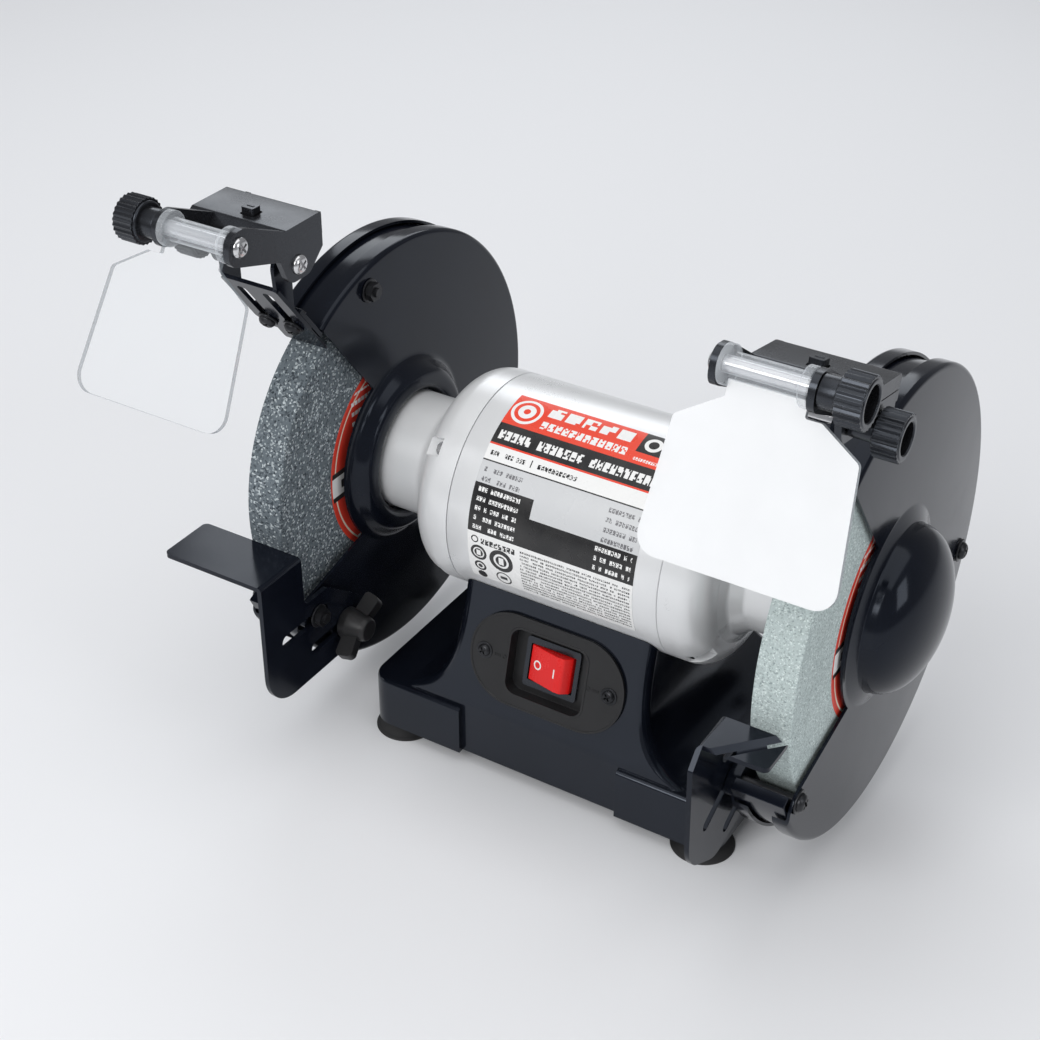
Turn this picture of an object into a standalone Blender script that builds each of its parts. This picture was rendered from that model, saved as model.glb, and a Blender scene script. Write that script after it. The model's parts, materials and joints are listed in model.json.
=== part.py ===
"""Bench grinder with two guarded wheels, lit eye shields and tool rests.

Metres, +Z up. The front faces -Y and the wheel shaft lies along X. The origin is on
the floor, under the middle of the machine. Positions under the machine's empty are
measured from the shaft in Y and from the floor in Z; "out" is the distance from the
middle of the machine towards either side.
"""
import math

import bmesh
import bpy
from mathutils import Matrix, Vector

# ---- driving dimensions, in metres -------------------------------------------------
GAP = 0.0003                    # between neighbours that touch on the real machine
SET_BACK = 0.0270               # of the shaft behind the origin
SHAFT_HEIGHT = 0.1382
SEGMENTS = 36                   # round a large turned piece
SMALL_SEGMENTS = 14             # round a small turned piece

# base
BASE_HALF_LENGTH = 0.1035
BASE_HALF_DEPTH = 0.0675
BASE_BOTTOM = 0.0080
BASE_TOP = 0.0370
BASE_CORNER = 0.0120
BASE_WALL = 0.0025
PEDESTAL_FLARE = 0.0280         # at each end, limited by the deck it meets
DECK_EDGE = 0.0062              # of the deck left outside the flare
RECESS_HALF_LENGTH = 0.0465
RECESS_DEPTH = 0.0033
FOOT_INSET_X = 0.0135
FOOT_INSET_Y = 0.0145
FOOT_TOP_RADIUS = 0.0105
FOOT_RADIUS = 0.0165
PANEL_WIDTH = 0.0890
PANEL_HEIGHT = 0.0504
PANEL_THICKNESS = 0.0015
POCKET_WIDTH = 0.0440           # sunk in the switch plate
POCKET_HEIGHT = 0.0360
POCKET_DEPTH = 0.0075
POCKET_WALL = 0.0014
SWITCH_FRAME_WIDTH = 0.0310
SWITCH_FRAME_HEIGHT = 0.0276
SWITCH_FRAME_RISE = 0.0015
SWITCH_WIDTH = 0.0284
SWITCH_HEIGHT = 0.0246
SWITCH_DEPTH = 0.0190
ROCKER_WIDTH = 0.0246
ROCKER_HEIGHT = 0.0195
ROCKER_AXIS_DEPTH = 0.0040      # below the switch's frame
GLAND_RADIUS = 0.0060
GLAND_HEIGHT = 0.0225
GLAND_OFFSET = -0.0400

# motor
HOUSING_RADIUS = 0.0567
HOUSING_WALL = 0.0025
HOUSING_HALF_LENGTH = 0.0590
BELL_LENGTH = 0.0597
BELL_BARREL = 0.0090
BELL_SHOULDER = 0.0150
BELL_WALL = 0.0030
NECK_RADIUS = 0.0320
STATOR_HALF_LENGTH = 0.0320
ROTOR_RADIUS = 0.0300
BEARING_RADIUS = 0.0200
BEARING_WIDTH = 0.0120
JOURNAL_RADIUS = 0.0100
ARBOR_RADIUS = 0.0079

# wheels
WHEEL_RADIUS = 0.1000
WHEEL_WIDTH = 0.0198
FLANGE_RADIUS = 0.0350
NUT_RADIUS = 0.0138
NUT_HEIGHT = 0.0104

# guards
SHEET = 0.0015
BAND_CLEARANCE = 0.0128         # wheel to the inside of the band
RIM_STEP = 0.0027               # band to the outside of the guard rims
RIM_DEPTH = 0.0078
BULGE_DEPTH = 0.0090            # inner guard face back to the top of its hub ring
COVER_SIDE_GAP = 0.0018         # wheel to the inside of the outer cover
DOME_RADIUS = 0.0410
DOME_HEIGHT = 0.0270
HUB_RADIUS = 0.0525             # of the sheet that is left round each hub
CUT_TOP_ANGLE = math.radians(127.5)
CUT_TOP_OFFSET = 0.0083
CUT_LOW_ANGLE = math.radians(193.6)
CUT_LOW_OFFSET = 0.0241
NOSE_RADIUS = 0.0120
BAND_LOW_ANGLE = math.radians(205.0)
BOLT_RADIUS = 0.0025
BOLT_CIRCLE_GAP = 0.0052        # wheel to the circle of cover bolts
BOLT_ANGLES = {"top": 104.0, "back": -15.0, "nose": 210.0}

# tool rests
REST_SHEET = 0.0025
REST_GAP = 0.0022               # table edge to the wheel
REST_TOP_BELOW_SHAFT = 0.0112
REST_BOSS_HEIGHT = 0.0043
SLOT_WIDTH = 0.0066
KNOB_ANGLE = math.radians(225.9)
KNOB_CIRCLE = 0.0984
KNOB_STUD_RADIUS = 0.0030
WING_ANGLE = math.radians(36.0)

# eye shields and lights
BRACKET_SHEET = 0.0020
DEFLECTOR_SHEET = 0.0012
EAR_INSET = 0.0011              # middle of an ear inside the edge of the bracket
STUD_OUT = 0.0295               # wheel rim to the bracket studs
STUD_SPACING = 0.0150
PIVOT_OUT = 0.0700              # wheel rim to the light's pivot, along the cut
PIVOT_BACK = 0.0165             # light's pivot behind the shaft's radial plane
ARM_Y = -0.0400                 # shield axis from the light's pivot
ARM_Z = 0.0240
PIN_RADIUS = 0.0030
PLATE_THICKNESS = 0.0030
TUBE_RADIUS = 0.0055
TUBE_BORE = 0.0036
SHIELD_LENGTH = 0.0810
SHIELD_THICKNESS = 0.0026
SHIELD_HALF_WIDTH = 0.0430
SHIELD_SHOULDER = 0.0118        # shield axis to the shoulders of the pane
LIGHT_PITCH = {"left": 0.0, "right": -11.0}
SHIELD_LEAN = {"left": -31.0, "right": -21.0}

SIDES = {"left": -1, "right": 1}

# ---- places that follow from the dimensions ---------------------------------------
BELL_START = HOUSING_HALF_LENGTH + GAP
BELL_END = BELL_START + BELL_LENGTH
GUARD_WEB = BELL_END + GAP + SHEET / 2
GUARD_FACE = GUARD_WEB + 0.0038
WHEEL_START = GUARD_FACE + SHEET / 2 + 0.0044
WHEEL_END = WHEEL_START + WHEEL_WIDTH
COVER_FACE = WHEEL_END + COVER_SIDE_GAP + SHEET / 2
WHEEL_MIDDLE = (WHEEL_START + WHEEL_END) / 2
BAND_START = GUARD_FACE + SHEET / 2 + GAP
BAND_END = COVER_FACE - SHEET / 2 - GAP
BAND_INSIDE = WHEEL_RADIUS + BAND_CLEARANCE
BAND_OUTSIDE = BAND_INSIDE + SHEET
GUARD_RADIUS = BAND_OUTSIDE + RIM_STEP
BOLT_CIRCLE = WHEEL_RADIUS + BOLT_CIRCLE_GAP
PEDESTAL_TOP = SHAFT_HEIGHT - 0.0290
LEG_OUT = GUARD_FACE - SHEET / 2 - REST_BOSS_HEIGHT - GAP - REST_SHEET / 2
LIGHT_IN = GUARD_FACE - 0.0106
LIGHT_OUT = COVER_FACE + 0.0022
LIGHT_END = COVER_FACE + 0.0158

# Sheets are drawn in (Y, Z) and stand across X: local X, Y, Z become Y, Z, X.
ACROSS = Matrix(((0, 0, 1), (1, 0, 0), (0, 1, 0))).to_euler()
ACROSS_LEFT = Matrix(((0, 0, -1), (1, 0, 0), (0, -1, 0))).to_euler()


# ---- scene, finishes and placing --------------------------------------------------
def clear_scene():
    """Remove every object that a new file starts with."""
    for item in list(bpy.data.objects):
        bpy.data.objects.remove(item, do_unlink=True)


def finish(name, colour, roughness, metallic=0.0, alpha=1.0):
    """A plain Principled material."""
    material = bpy.data.materials.new(name)
    material.use_nodes = True
    shader = material.node_tree.nodes["Principled BSDF"]
    shader.inputs["Base Color"].default_value = (*colour, 1.0)
    shader.inputs["Roughness"].default_value = roughness
    shader.inputs["Metallic"].default_value = metallic
    shader.inputs["Alpha"].default_value = alpha
    return material


clear_scene()
PARTS = bpy.data.collections.new("bench_grinder")
TOOLS = bpy.data.collections.new("bench_grinder_cutters")
bpy.context.scene.collection.children.link(PARTS)
bpy.context.scene.collection.children.link(TOOLS)

BLACK_PAINT = finish("black_paint", (0.012, 0.013, 0.016), 0.25)
BLACK_PLASTIC = finish("black_plastic", (0.015, 0.015, 0.017), 0.45)
SILVER_PAINT = finish("silver_paint", (0.55, 0.56, 0.57), 0.35, 0.6)
STEEL = finish("steel", (0.45, 0.45, 0.46), 0.35, 1.0)
COPPER = finish("windings", (0.45, 0.2, 0.08), 0.4, 1.0)
RUBBER = finish("rubber", (0.02, 0.02, 0.02), 0.8)
RED_PLASTIC = finish("red_plastic", (0.65, 0.02, 0.015), 0.35)
COARSE_STONE = finish("coarse_stone", (0.22, 0.26, 0.28), 0.95)
FINE_STONE = finish("fine_stone", (0.42, 0.48, 0.46), 0.95)
CLEAR = finish("clear_plastic", (0.85, 0.9, 0.92), 0.05, 0.0, 0.35)
BLACK_STEEL = finish("black_steel", (0.02, 0.02, 0.022), 0.35, 0.8)


def empty(name, parent=None, place=(0, 0, 0), turn=(0, 0, 0)):
    """A frame that pieces are placed under, often a joint's axis."""
    frame = bpy.data.objects.new(name, None)
    frame.empty_display_size = 0.02
    frame.location = place
    frame.rotation_euler = turn
    frame.parent = parent
    PARTS.objects.link(frame)
    return frame


def put(name, mesh, parent, place=(0, 0, 0), turn=(0, 0, 0), material=None):
    """Place a mesh as a piece, or as a hidden tool when it has no material."""
    item = bpy.data.objects.new(name, mesh)
    item.parent = parent
    item.location = place
    item.rotation_euler = turn
    if material:
        mesh.materials.append(material)
        PARTS.objects.link(item)
    else:
        item.hide_render = True
        item.display_type = "WIRE"
        TOOLS.objects.link(item)
    return item


def combine(item, tool, operation):
    """Cut, join or intersect an item with a hidden tool."""
    step = item.modifiers.new(tool.name, "BOOLEAN")
    step.operation = operation
    step.object = tool
    step.solver = "EXACT"
    return item


def cut(item, *tools):
    for tool in tools:
        combine(item, tool, "DIFFERENCE")
    return item


def join(item, *tools):
    for tool in tools:
        combine(item, tool, "UNION")
    return item


def soften(item, width, segments=2, angle=35.0):
    """Round an item's hard edges."""
    step = item.modifiers.new("soft_edges", "BEVEL")
    step.width = width
    step.segments = segments
    step.limit_method = "ANGLE"
    step.angle_limit = math.radians(angle)
    return item


# ---- outlines ---------------------------------------------------------------------
def polar(radius, angle):
    return Vector((radius * math.cos(angle), radius * math.sin(angle)))


def arc(centre, radius, start, end, steps):
    """Points along an arc, both ends included."""
    centre = Vector(centre)
    return [centre + polar(radius, start + (end - start) * i / steps) for i in range(steps + 1)]


def rounded(corners, steps=4):
    """Outline through (x, y, radius) corners, each rounded by its own radius."""
    points = []
    for i, (x, y, radius) in enumerate(corners):
        here = Vector((x, y))
        back = (Vector(corners[i - 1][:2]) - here).normalized()
        ahead = (Vector(corners[(i + 1) % len(corners)][:2]) - here).normalized()
        if radius <= 0:
            points.append(here)
            continue
        half = back.angle(ahead) / 2
        reach = radius / math.tan(half)
        centre = here + (back + ahead).normalized() * (radius / math.sin(half))
        first = here + back * reach - centre
        sweep = first.angle_signed(here + ahead * reach - centre)
        for k in range(steps + 1):
            points.append(centre + Matrix.Rotation(-sweep * k / steps, 2) @ first)
    return points


def rectangle(width, height, radius=0.0, centre=(0.0, 0.0), steps=4):
    x, y = centre
    w, h = width / 2, height / 2
    return rounded([(x - w, y - h, radius), (x + w, y - h, radius),
                    (x + w, y + h, radius), (x - w, y + h, radius)], steps)


def slot(start, end, width, steps=5):
    """A slot with round ends about two centres."""
    start, end = Vector(start), Vector(end)
    heading = math.atan2(*(end - start).yx)
    quarter = math.pi / 2
    return (arc(start, width / 2, heading + quarter, heading + 3 * quarter, steps)
            + arc(end, width / 2, heading - quarter, heading + quarter, steps))


def circle(radius, centre=(0.0, 0.0), steps=16):
    return arc(centre, radius, 0.0, 2 * math.pi * (steps - 1) / steps, steps - 1)


# ---- solids -----------------------------------------------------------------------
def sheet(name, outline, thickness, holes=()):
    """Mesh of a flat outline with holes, of one thickness, centred on its plane."""
    curve = bpy.data.curves.new(name, "CURVE")
    curve.dimensions = "2D"
    curve.fill_mode = "BOTH"
    curve.extrude = thickness / 2
    for points in (outline, *holes):
        spline = curve.splines.new("POLY")
        spline.points.add(len(points) - 1)
        spline.use_cyclic_u = True
        for corner, point in zip(spline.points, points):
            corner.co = (point[0], point[1], 0.0, 1.0)
    item = bpy.data.objects.new(name, curve)
    TOOLS.objects.link(item)
    bpy.context.view_layer.update()
    mesh = bpy.data.meshes.new_from_object(item.evaluated_get(bpy.context.evaluated_depsgraph_get()))
    bpy.data.objects.remove(item, do_unlink=True)
    work = bmesh.new()
    work.from_mesh(mesh)
    bmesh.ops.remove_doubles(work, verts=work.verts, dist=1e-6)
    bmesh.ops.recalc_face_normals(work, faces=work.faces)
    work.to_mesh(mesh)
    work.free()
    return mesh


def block(size, centre=(0, 0, 0)):
    """Mesh of a box."""
    mesh = bpy.data.meshes.new("block")
    work = bmesh.new()
    place = Matrix.Translation(centre) @ Matrix.Diagonal((*size, 1.0))
    bmesh.ops.create_cube(work, size=1.0, matrix=place)
    work.to_mesh(mesh)
    work.free()
    return mesh


def rod(radius, start, end, segments=SMALL_SEGMENTS):
    """Mesh of a cylinder along local Z."""
    mesh = bpy.data.meshes.new("rod")
    work = bmesh.new()
    place = Matrix.Translation((0, 0, (start + end) / 2))
    bmesh.ops.create_cone(work, cap_ends=True, segments=segments, radius1=radius, radius2=radius,
                          depth=end - start, matrix=place)
    work.to_mesh(mesh)
    work.free()
    return mesh


def turned(name, profile, parent, place=(0, 0, 0), turn=(0, 0, 0), material=None,
           segments=SMALL_SEGMENTS, wall=0.0):
    """A piece turned about local Z from (radius, height) points.

    A profile with a wall is an open line that gets that thickness. Without one it is
    a closed ring, or a line from axis to axis, run down its outer side.
    """
    area = sum(a[0] * b[1] - b[0] * a[1] for a, b in zip(profile, profile[1:] + profile[:1]))
    points = profile[::-1] if area > 0 else profile
    ring = not wall and min(point[0] for point in points) > 0
    mesh = bpy.data.meshes.new(name)
    edges = [(i, i + 1) for i in range(len(points) - 1)]
    if ring:
        edges.append((len(points) - 1, 0))
    mesh.from_pydata([(radius, 0, height) for radius, height in points], edges, [])
    item = put(name, mesh, parent, place, turn, material)
    spin = item.modifiers.new("turn", "SCREW")
    spin.steps = segments
    spin.render_steps = segments
    spin.use_merge_vertices = True
    spin.merge_threshold = 0.00001
    if wall:
        thick = item.modifiers.new("wall", "SOLIDIFY")
        thick.thickness = wall
        thick.offset = 0.0
        thick.use_even_offset = True
    return item


# ---- base -------------------------------------------------------------------------
def loft(name, rings):
    """Mesh through closed rings of equal count, closed at both ends."""
    work = bmesh.new()
    rows = [[work.verts.new(point) for point in ring] for ring in rings]
    for low, high in zip(rows, rows[1:]):
        for i in range(len(low)):
            j = (i + 1) % len(low)
            work.faces.new((low[i], low[j], high[j], high[i]))
    work.faces.new(rows[0][::-1])
    work.faces.new(rows[-1])
    bmesh.ops.recalc_face_normals(work, faces=work.faces)
    mesh = bpy.data.meshes.new(name)
    work.to_mesh(mesh)
    work.free()
    return mesh


def base_ring(half_length, front, back, corner, height):
    """One level of the base: a rounded rectangle from front to back."""
    outline = rectangle(2 * half_length, front + back, corner, (0.0, (back - front) / 2), 3)
    return [(*point, height) for point in outline]


def build_base(machine):
    """Base housing, its cover, four feet, capacitor and cable gland."""
    neck = HOUSING_RADIUS - 0.0022
    depth_top = HOUSING_RADIUS - 0.0097
    rise = PEDESTAL_TOP - BASE_TOP
    wall = BASE_WALL
    face = BASE_HALF_DEPTH - RECESS_DEPTH
    length, depth, corner = BASE_HALF_LENGTH, BASE_HALF_DEPTH, BASE_CORNER
    outside = [base_ring(length, depth, depth, corner, BASE_BOTTOM),
               base_ring(length, depth, depth, corner, BASE_TOP - 0.0025),
               base_ring(length - 0.0022, depth - 0.0022, depth - 0.0022, corner - 0.002, BASE_TOP)]
    ceiling = BASE_TOP - wall
    inside = [base_ring(length - wall, face - wall, depth - wall, corner - wall, BASE_BOTTOM - 0.001),
              base_ring(length - wall, face - wall, depth - wall, corner - wall, ceiling)]
    spread = min(1.0, (length - DECK_EDGE - neck) / PEDESTAL_FLARE)
    for share, flare in ((0.0, PEDESTAL_FLARE), (0.05, 0.0190), (0.14, 0.0115), (0.30, 0.0055),
                         (0.55, 0.0015), (1.0, 0.0)):
        half = face + (depth_top - face) * max(0.0, share - 0.05) / 0.95
        low = BASE_TOP + rise * share
        flare *= spread
        outside.append(base_ring(neck + flare, half, half, 0.0060, low))
        half -= wall
        low = ceiling + (rise + wall + 0.001) * share
        inside.append(base_ring(neck + flare - wall, half, half, 0.0035, low))
    housing = put("base_housing", loft("base_housing", outside), machine, material=BLACK_PAINT)
    crease = BASE_TOP + 0.0060
    recess = put("front_recess", block((2 * RECESS_HALF_LENGTH, 0.02, crease),
                                       (0, -face - 0.01, crease / 2)), machine)
    cut(housing, put("base_hollow", loft("base_hollow", inside), machine), recess)
    saddle = put("motor_saddle", rod(HOUSING_RADIUS + GAP, -0.2, 0.2, SEGMENTS), machine,
                 (0, 0, SHAFT_HEIGHT), ACROSS)
    gland_hole = put("gland_hole", rod(GLAND_RADIUS + GAP, -0.01, 0.01), machine,
                     (GLAND_OFFSET, BASE_HALF_DEPTH, GLAND_HEIGHT), (math.pi / 2, 0, 0))
    cut(housing, saddle, gland_hole)

    inset = wall + GAP
    cover = rectangle(2 * (length - inset), 2 * (depth - inset) - RECESS_DEPTH, corner - inset,
                      (0.0, RECESS_DEPTH / 2), 3)
    cover_height = BASE_BOTTOM + 0.0010
    put("base_cover", sheet("base_cover", cover, 0.0015), machine, (0, 0, cover_height),
        material=BLACK_STEEL)

    top = BASE_BOTTOM - GAP
    foot = [(0, top), (FOOT_TOP_RADIUS, top), (FOOT_TOP_RADIUS, top - 0.0022), (0.0092, top - 0.0036),
            (FOOT_RADIUS - 0.0020, 0.0014), (FOOT_RADIUS, 0.0006), (FOOT_RADIUS, 0.0), (0, 0.0)]
    for end, x in (("left", -1), ("right", 1)):
        for row, y in (("front", -1), ("rear", 1)):
            turned(f"foot_{row}_{end}", foot, machine,
                   (x * (BASE_HALF_LENGTH - FOOT_INSET_X), y * (BASE_HALF_DEPTH - FOOT_INSET_Y), 0),
                   material=RUBBER)

    can = [(0, -0.026), (0.0105, -0.026), (0.0105, 0.026), (0.004, 0.026), (0.004, 0.031), (0, 0.031)]
    turned("run_capacitor", can, machine, (-0.045, 0.020, cover_height + 0.0120), ACROSS,
           STEEL)
    gland = [(0, -0.008), (GLAND_RADIUS, -0.008), (GLAND_RADIUS, GAP),
             (0.0090, GAP), (0.0090, 0.0050), (0.0072, 0.0062), (0.0066, 0.0130),
             (0.0038, 0.0130), (0.0038, 0.0040), (0, 0.0040)]
    turned("cable_gland", gland, machine, (GLAND_OFFSET, BASE_HALF_DEPTH, GLAND_HEIGHT),
           (-math.pi / 2, 0, 0), BLACK_PLASTIC)
    return housing


def build_switch(machine, housing):
    """Switch plate on the sloping front, with the switch body and its rocker."""
    front_low = Vector((-BASE_HALF_DEPTH + RECESS_DEPTH, BASE_TOP + 0.05 * (PEDESTAL_TOP - BASE_TOP)))
    front_top = Vector((-HOUSING_RADIUS + 0.0097, PEDESTAL_TOP))
    slope = front_top - front_low
    middle = front_low.lerp(front_top, 0.48)
    panel = empty("switch_panel", machine, (0, *middle), (-math.atan2(slope.x, slope.y), 0, 0))
    upright = (math.pi / 2, 0, 0)

    face = -GAP - PANEL_THICKNESS
    floor = face + POCKET_DEPTH
    wall = 2 * POCKET_WALL
    outline = rectangle(PANEL_WIDTH, PANEL_HEIGHT, PANEL_HEIGHT / 2 - 0.0007, steps=8)
    plate = put("switch_plate", sheet("switch_plate", outline, PANEL_THICKNESS), panel,
                (0, face + PANEL_THICKNESS / 2, 0), upright, BLACK_PLASTIC)
    tray = rectangle(POCKET_WIDTH + wall, POCKET_HEIGHT + wall, 0.0074, steps=3)
    depth = POCKET_DEPTH + POCKET_WALL - 0.0005
    join(plate, put("pocket_tray", sheet("pocket_tray", tray, depth), panel,
                    (0, face + 0.0005 + depth / 2, 0), upright))
    pocket = rectangle(POCKET_WIDTH, POCKET_HEIGHT, 0.0060, steps=3)
    cut(plate, put("pocket", sheet("pocket", pocket, 2 * POCKET_DEPTH), panel, (0, face, 0), upright),
        put("switch_hole", block((SWITCH_WIDTH + 2 * GAP, 0.04, SWITCH_HEIGHT + 2 * GAP)), panel))
    clear = wall + 0.0010
    cut(housing, put("panel_opening", block((POCKET_WIDTH + clear, 0.04, POCKET_HEIGHT + clear)), panel))

    top = floor - GAP - SWITCH_FRAME_RISE
    length = SWITCH_DEPTH + SWITCH_FRAME_RISE
    body = put("switch_body", block((SWITCH_WIDTH, length, SWITCH_HEIGHT), (0, top + length / 2, 0)),
               panel, material=BLACK_PLASTIC)
    frame = rectangle(SWITCH_FRAME_WIDTH, SWITCH_FRAME_HEIGHT, 0.0015, steps=2)
    join(body, put("switch_frame", sheet("switch_frame", frame, SWITCH_FRAME_RISE), panel,
                   (0, top + SWITCH_FRAME_RISE / 2, 0), upright))
    well = length - 0.0030
    cut(body, put("rocker_well", block((ROCKER_WIDTH + 0.0016, 2 * well, ROCKER_HEIGHT + 0.0009)),
                  panel, (0, top, 0)))

    depth = ROCKER_AXIS_DEPTH
    swing = empty("switch_rocker_axis", panel, (0, top + depth, 0))
    half = ROCKER_WIDTH / 2
    rocker = [(-half, 0.0030), (-half, -depth), (0.0055, -depth - 0.0046), (0.0080, -depth - 0.0043),
              (0.0100, -depth - 0.0030), (half - 0.0008, -depth - 0.0011), (half, 0.0030),
              (0.0060, 0.0080), (-0.0060, 0.0080)]
    put("switch_rocker", sheet("switch_rocker", rocker, ROCKER_HEIGHT), swing,
        material=RED_PLASTIC)
    return panel


# ---- motor ------------------------------------------------------------------------
def build_motor(machine):
    """Motor housing with its stator, end bells, bearings, shaft and rotor."""
    centre = (0, 0, SHAFT_HEIGHT)
    half = HOUSING_HALF_LENGTH
    inside = HOUSING_RADIUS - HOUSING_WALL
    turned("motor_housing", [(HOUSING_RADIUS, half), (HOUSING_RADIUS, -half), (inside, -half),
                             (inside, half)], machine, centre, ACROSS, SILVER_PAINT, 40)
    outer, inner = inside - GAP, ROTOR_RADIUS + 0.0008
    turned("stator_core", [(outer, STATOR_HALF_LENGTH), (outer, -STATOR_HALF_LENGTH),
                           (inner + 0.003, -STATOR_HALF_LENGTH - 0.012),
                           (inner, -STATOR_HALF_LENGTH - 0.012), (inner, STATOR_HALF_LENGTH + 0.012),
                           (inner + 0.003, STATOR_HALF_LENGTH + 0.012)],
           machine, centre, ACROSS, COPPER, 28)
    for side, sign in SIDES.items():
        build_bell(side, machine, centre, ACROSS if sign > 0 else ACROSS_LEFT)


def build_bell(side, machine, centre, turn):
    """One end bell and the bearing in its neck."""
    pocket = BELL_END - 0.0070
    race = pocket - BEARING_WIDTH - GAP
    shoulder = BELL_START + BELL_BARREL
    bend = shoulder + BELL_SHOULDER
    radius = HOUSING_RADIUS - BELL_SHOULDER
    outer = [(HOUSING_RADIUS, BELL_START), (HOUSING_RADIUS, shoulder)]
    for i in range(1, 4):
        angle = math.pi / 2 * i / 4
        outer.append((radius + BELL_SHOULDER * math.cos(angle),
                      shoulder + BELL_SHOULDER * math.sin(angle)))
    outer += [(radius, bend + 0.0004), (NECK_RADIUS + 0.0040, bend + 0.0024),
              (NECK_RADIUS, bend + 0.0080), (NECK_RADIUS, BELL_END)]
    inner = [(JOURNAL_RADIUS + 0.0030, BELL_END), (JOURNAL_RADIUS + 0.0030, pocket),
             (BEARING_RADIUS + GAP, pocket), (BEARING_RADIUS + GAP, race - 0.001),
             (radius - 0.002, bend - BELL_WALL), (HOUSING_RADIUS - BELL_WALL, shoulder - 0.001),
             (HOUSING_RADIUS - BELL_WALL, BELL_START)]
    turned(f"end_bell_{side}", outer + inner, machine, centre, turn, SILVER_PAINT, 32)
    turned(f"bearing_{side}", [(BEARING_RADIUS, pocket - GAP), (BEARING_RADIUS, race),
                               (JOURNAL_RADIUS + GAP, race), (JOURNAL_RADIUS + GAP, pocket - GAP)],
           machine, centre, turn, STEEL, 20)


def build_rotor(machine):
    """Everything that turns: shaft, rotor, wheels, flanges and nuts."""
    spin = empty("shaft_axis", machine, (0, 0, SHAFT_HEIGHT))
    seat = BELL_END + 0.0035
    end = WHEEL_END + 0.0195
    half = [(0, end), (ARBOR_RADIUS - 0.001, end), (ARBOR_RADIUS, end - 0.001), (ARBOR_RADIUS, seat),
            (JOURNAL_RADIUS, seat), (JOURNAL_RADIUS, 0.0930), (0.0120, 0.0930)]
    shaft = half + [(radius, -height) for radius, height in half[::-1]]
    turned("rotor_shaft", shaft, spin, (0, 0, 0), ACROSS, STEEL, 16)
    core = STATOR_HALF_LENGTH
    turned("rotor_core", [(ROTOR_RADIUS, core), (ROTOR_RADIUS, -core), (0.0120 + GAP, -core),
                          (0.0120 + GAP, core)], spin, (0, 0, 0), ACROSS, STEEL, 24)
    bore = ARBOR_RADIUS + 2 * GAP
    for side, sign in SIDES.items():
        turn = ACROSS if sign > 0 else ACROSS_LEFT
        stone = COARSE_STONE if side == "left" else FINE_STONE
        low, high = WHEEL_START, WHEEL_END
        turned(f"grinding_wheel_{side}", [(WHEEL_RADIUS - 0.0006, high), (WHEEL_RADIUS, high - 0.0006),
                                          (WHEEL_RADIUS, low + 0.0006), (WHEEL_RADIUS - 0.0006, low),
                                          (bore, low), (bore, high)],
               spin, (0, 0, 0), turn, stone, 48)
        turned(f"inner_flange_{side}", [(FLANGE_RADIUS, low - GAP), (FLANGE_RADIUS, low - 0.0020),
                                        (FLANGE_RADIUS - 0.008, low - 0.0036), (bore, low - 0.0036),
                                        (bore, low - GAP)], spin, (0, 0, 0), turn, STEEL, 24)
        turned(f"outer_flange_{side}", [(FLANGE_RADIUS - 0.008, high + 0.0038),
                                        (FLANGE_RADIUS, high + 0.0022), (FLANGE_RADIUS, high + GAP),
                                        (bore, high + GAP), (bore, high + 0.0038)],
               spin, (0, 0, 0), turn, STEEL, 24)
        nut_low = high + 0.0041
        hexagon = arc((0, 0), NUT_RADIUS, 0.0, math.radians(300.0), 5)
        nut = put(f"arbor_nut_{side}", sheet("arbor_nut", hexagon, NUT_HEIGHT, [circle(bore)]), spin,
                  (sign * (nut_low + NUT_HEIGHT / 2), 0, 0), ACROSS, STEEL)
        soften(nut, 0.0008, 1, 50.0)
    return spin


# ---- guards -----------------------------------------------------------------------
TOP_RAY = polar(1.0, CUT_TOP_ANGLE)
TOP_FRONT = Vector((-TOP_RAY.y, TOP_RAY.x))
LOW_RAY = polar(1.0, CUT_LOW_ANGLE)
LOW_FRONT = Vector((LOW_RAY.y, -LOW_RAY.x))


def on_cut(along, front):
    """Point beside the upper cut: out along it from the shaft, and in front of it."""
    return TOP_RAY * along + TOP_FRONT * front


def chord(radius, offset):
    """How far out a line at this offset from the shaft meets this radius."""
    return math.sqrt(radius ** 2 - offset ** 2)


def guard_opening():
    """Outline of what is cut from both guard plates to open them to the front."""
    far = 2 * GUARD_RADIUS
    nose_along = chord(GUARD_RADIUS - NOSE_RADIUS, CUT_LOW_OFFSET + NOSE_RADIUS)
    nose = LOW_RAY * nose_along - LOW_FRONT * (CUT_LOW_OFFSET + NOSE_RADIUS)
    start = math.atan2(nose.y, nose.x)
    end = math.atan2(LOW_FRONT.y, LOW_FRONT.x) + (0 if LOW_FRONT.y < 0 else -2 * math.pi)
    hub_top = TOP_RAY * chord(HUB_RADIUS, CUT_TOP_OFFSET) - TOP_FRONT * CUT_TOP_OFFSET
    hub_low = LOW_RAY * chord(HUB_RADIUS, CUT_LOW_OFFSET) - LOW_FRONT * CUT_LOW_OFFSET
    top_angle = math.atan2(hub_top.y, hub_top.x)
    low_angle = math.atan2(hub_low.y, hub_low.x) + 2 * math.pi
    outline = [on_cut(far, -CUT_TOP_OFFSET), polar(far, start)]
    outline += arc(nose, NOSE_RADIUS, start, end, 6)
    outline += arc((0, 0), HUB_RADIUS, low_angle, top_angle, 10)
    return outline


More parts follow.
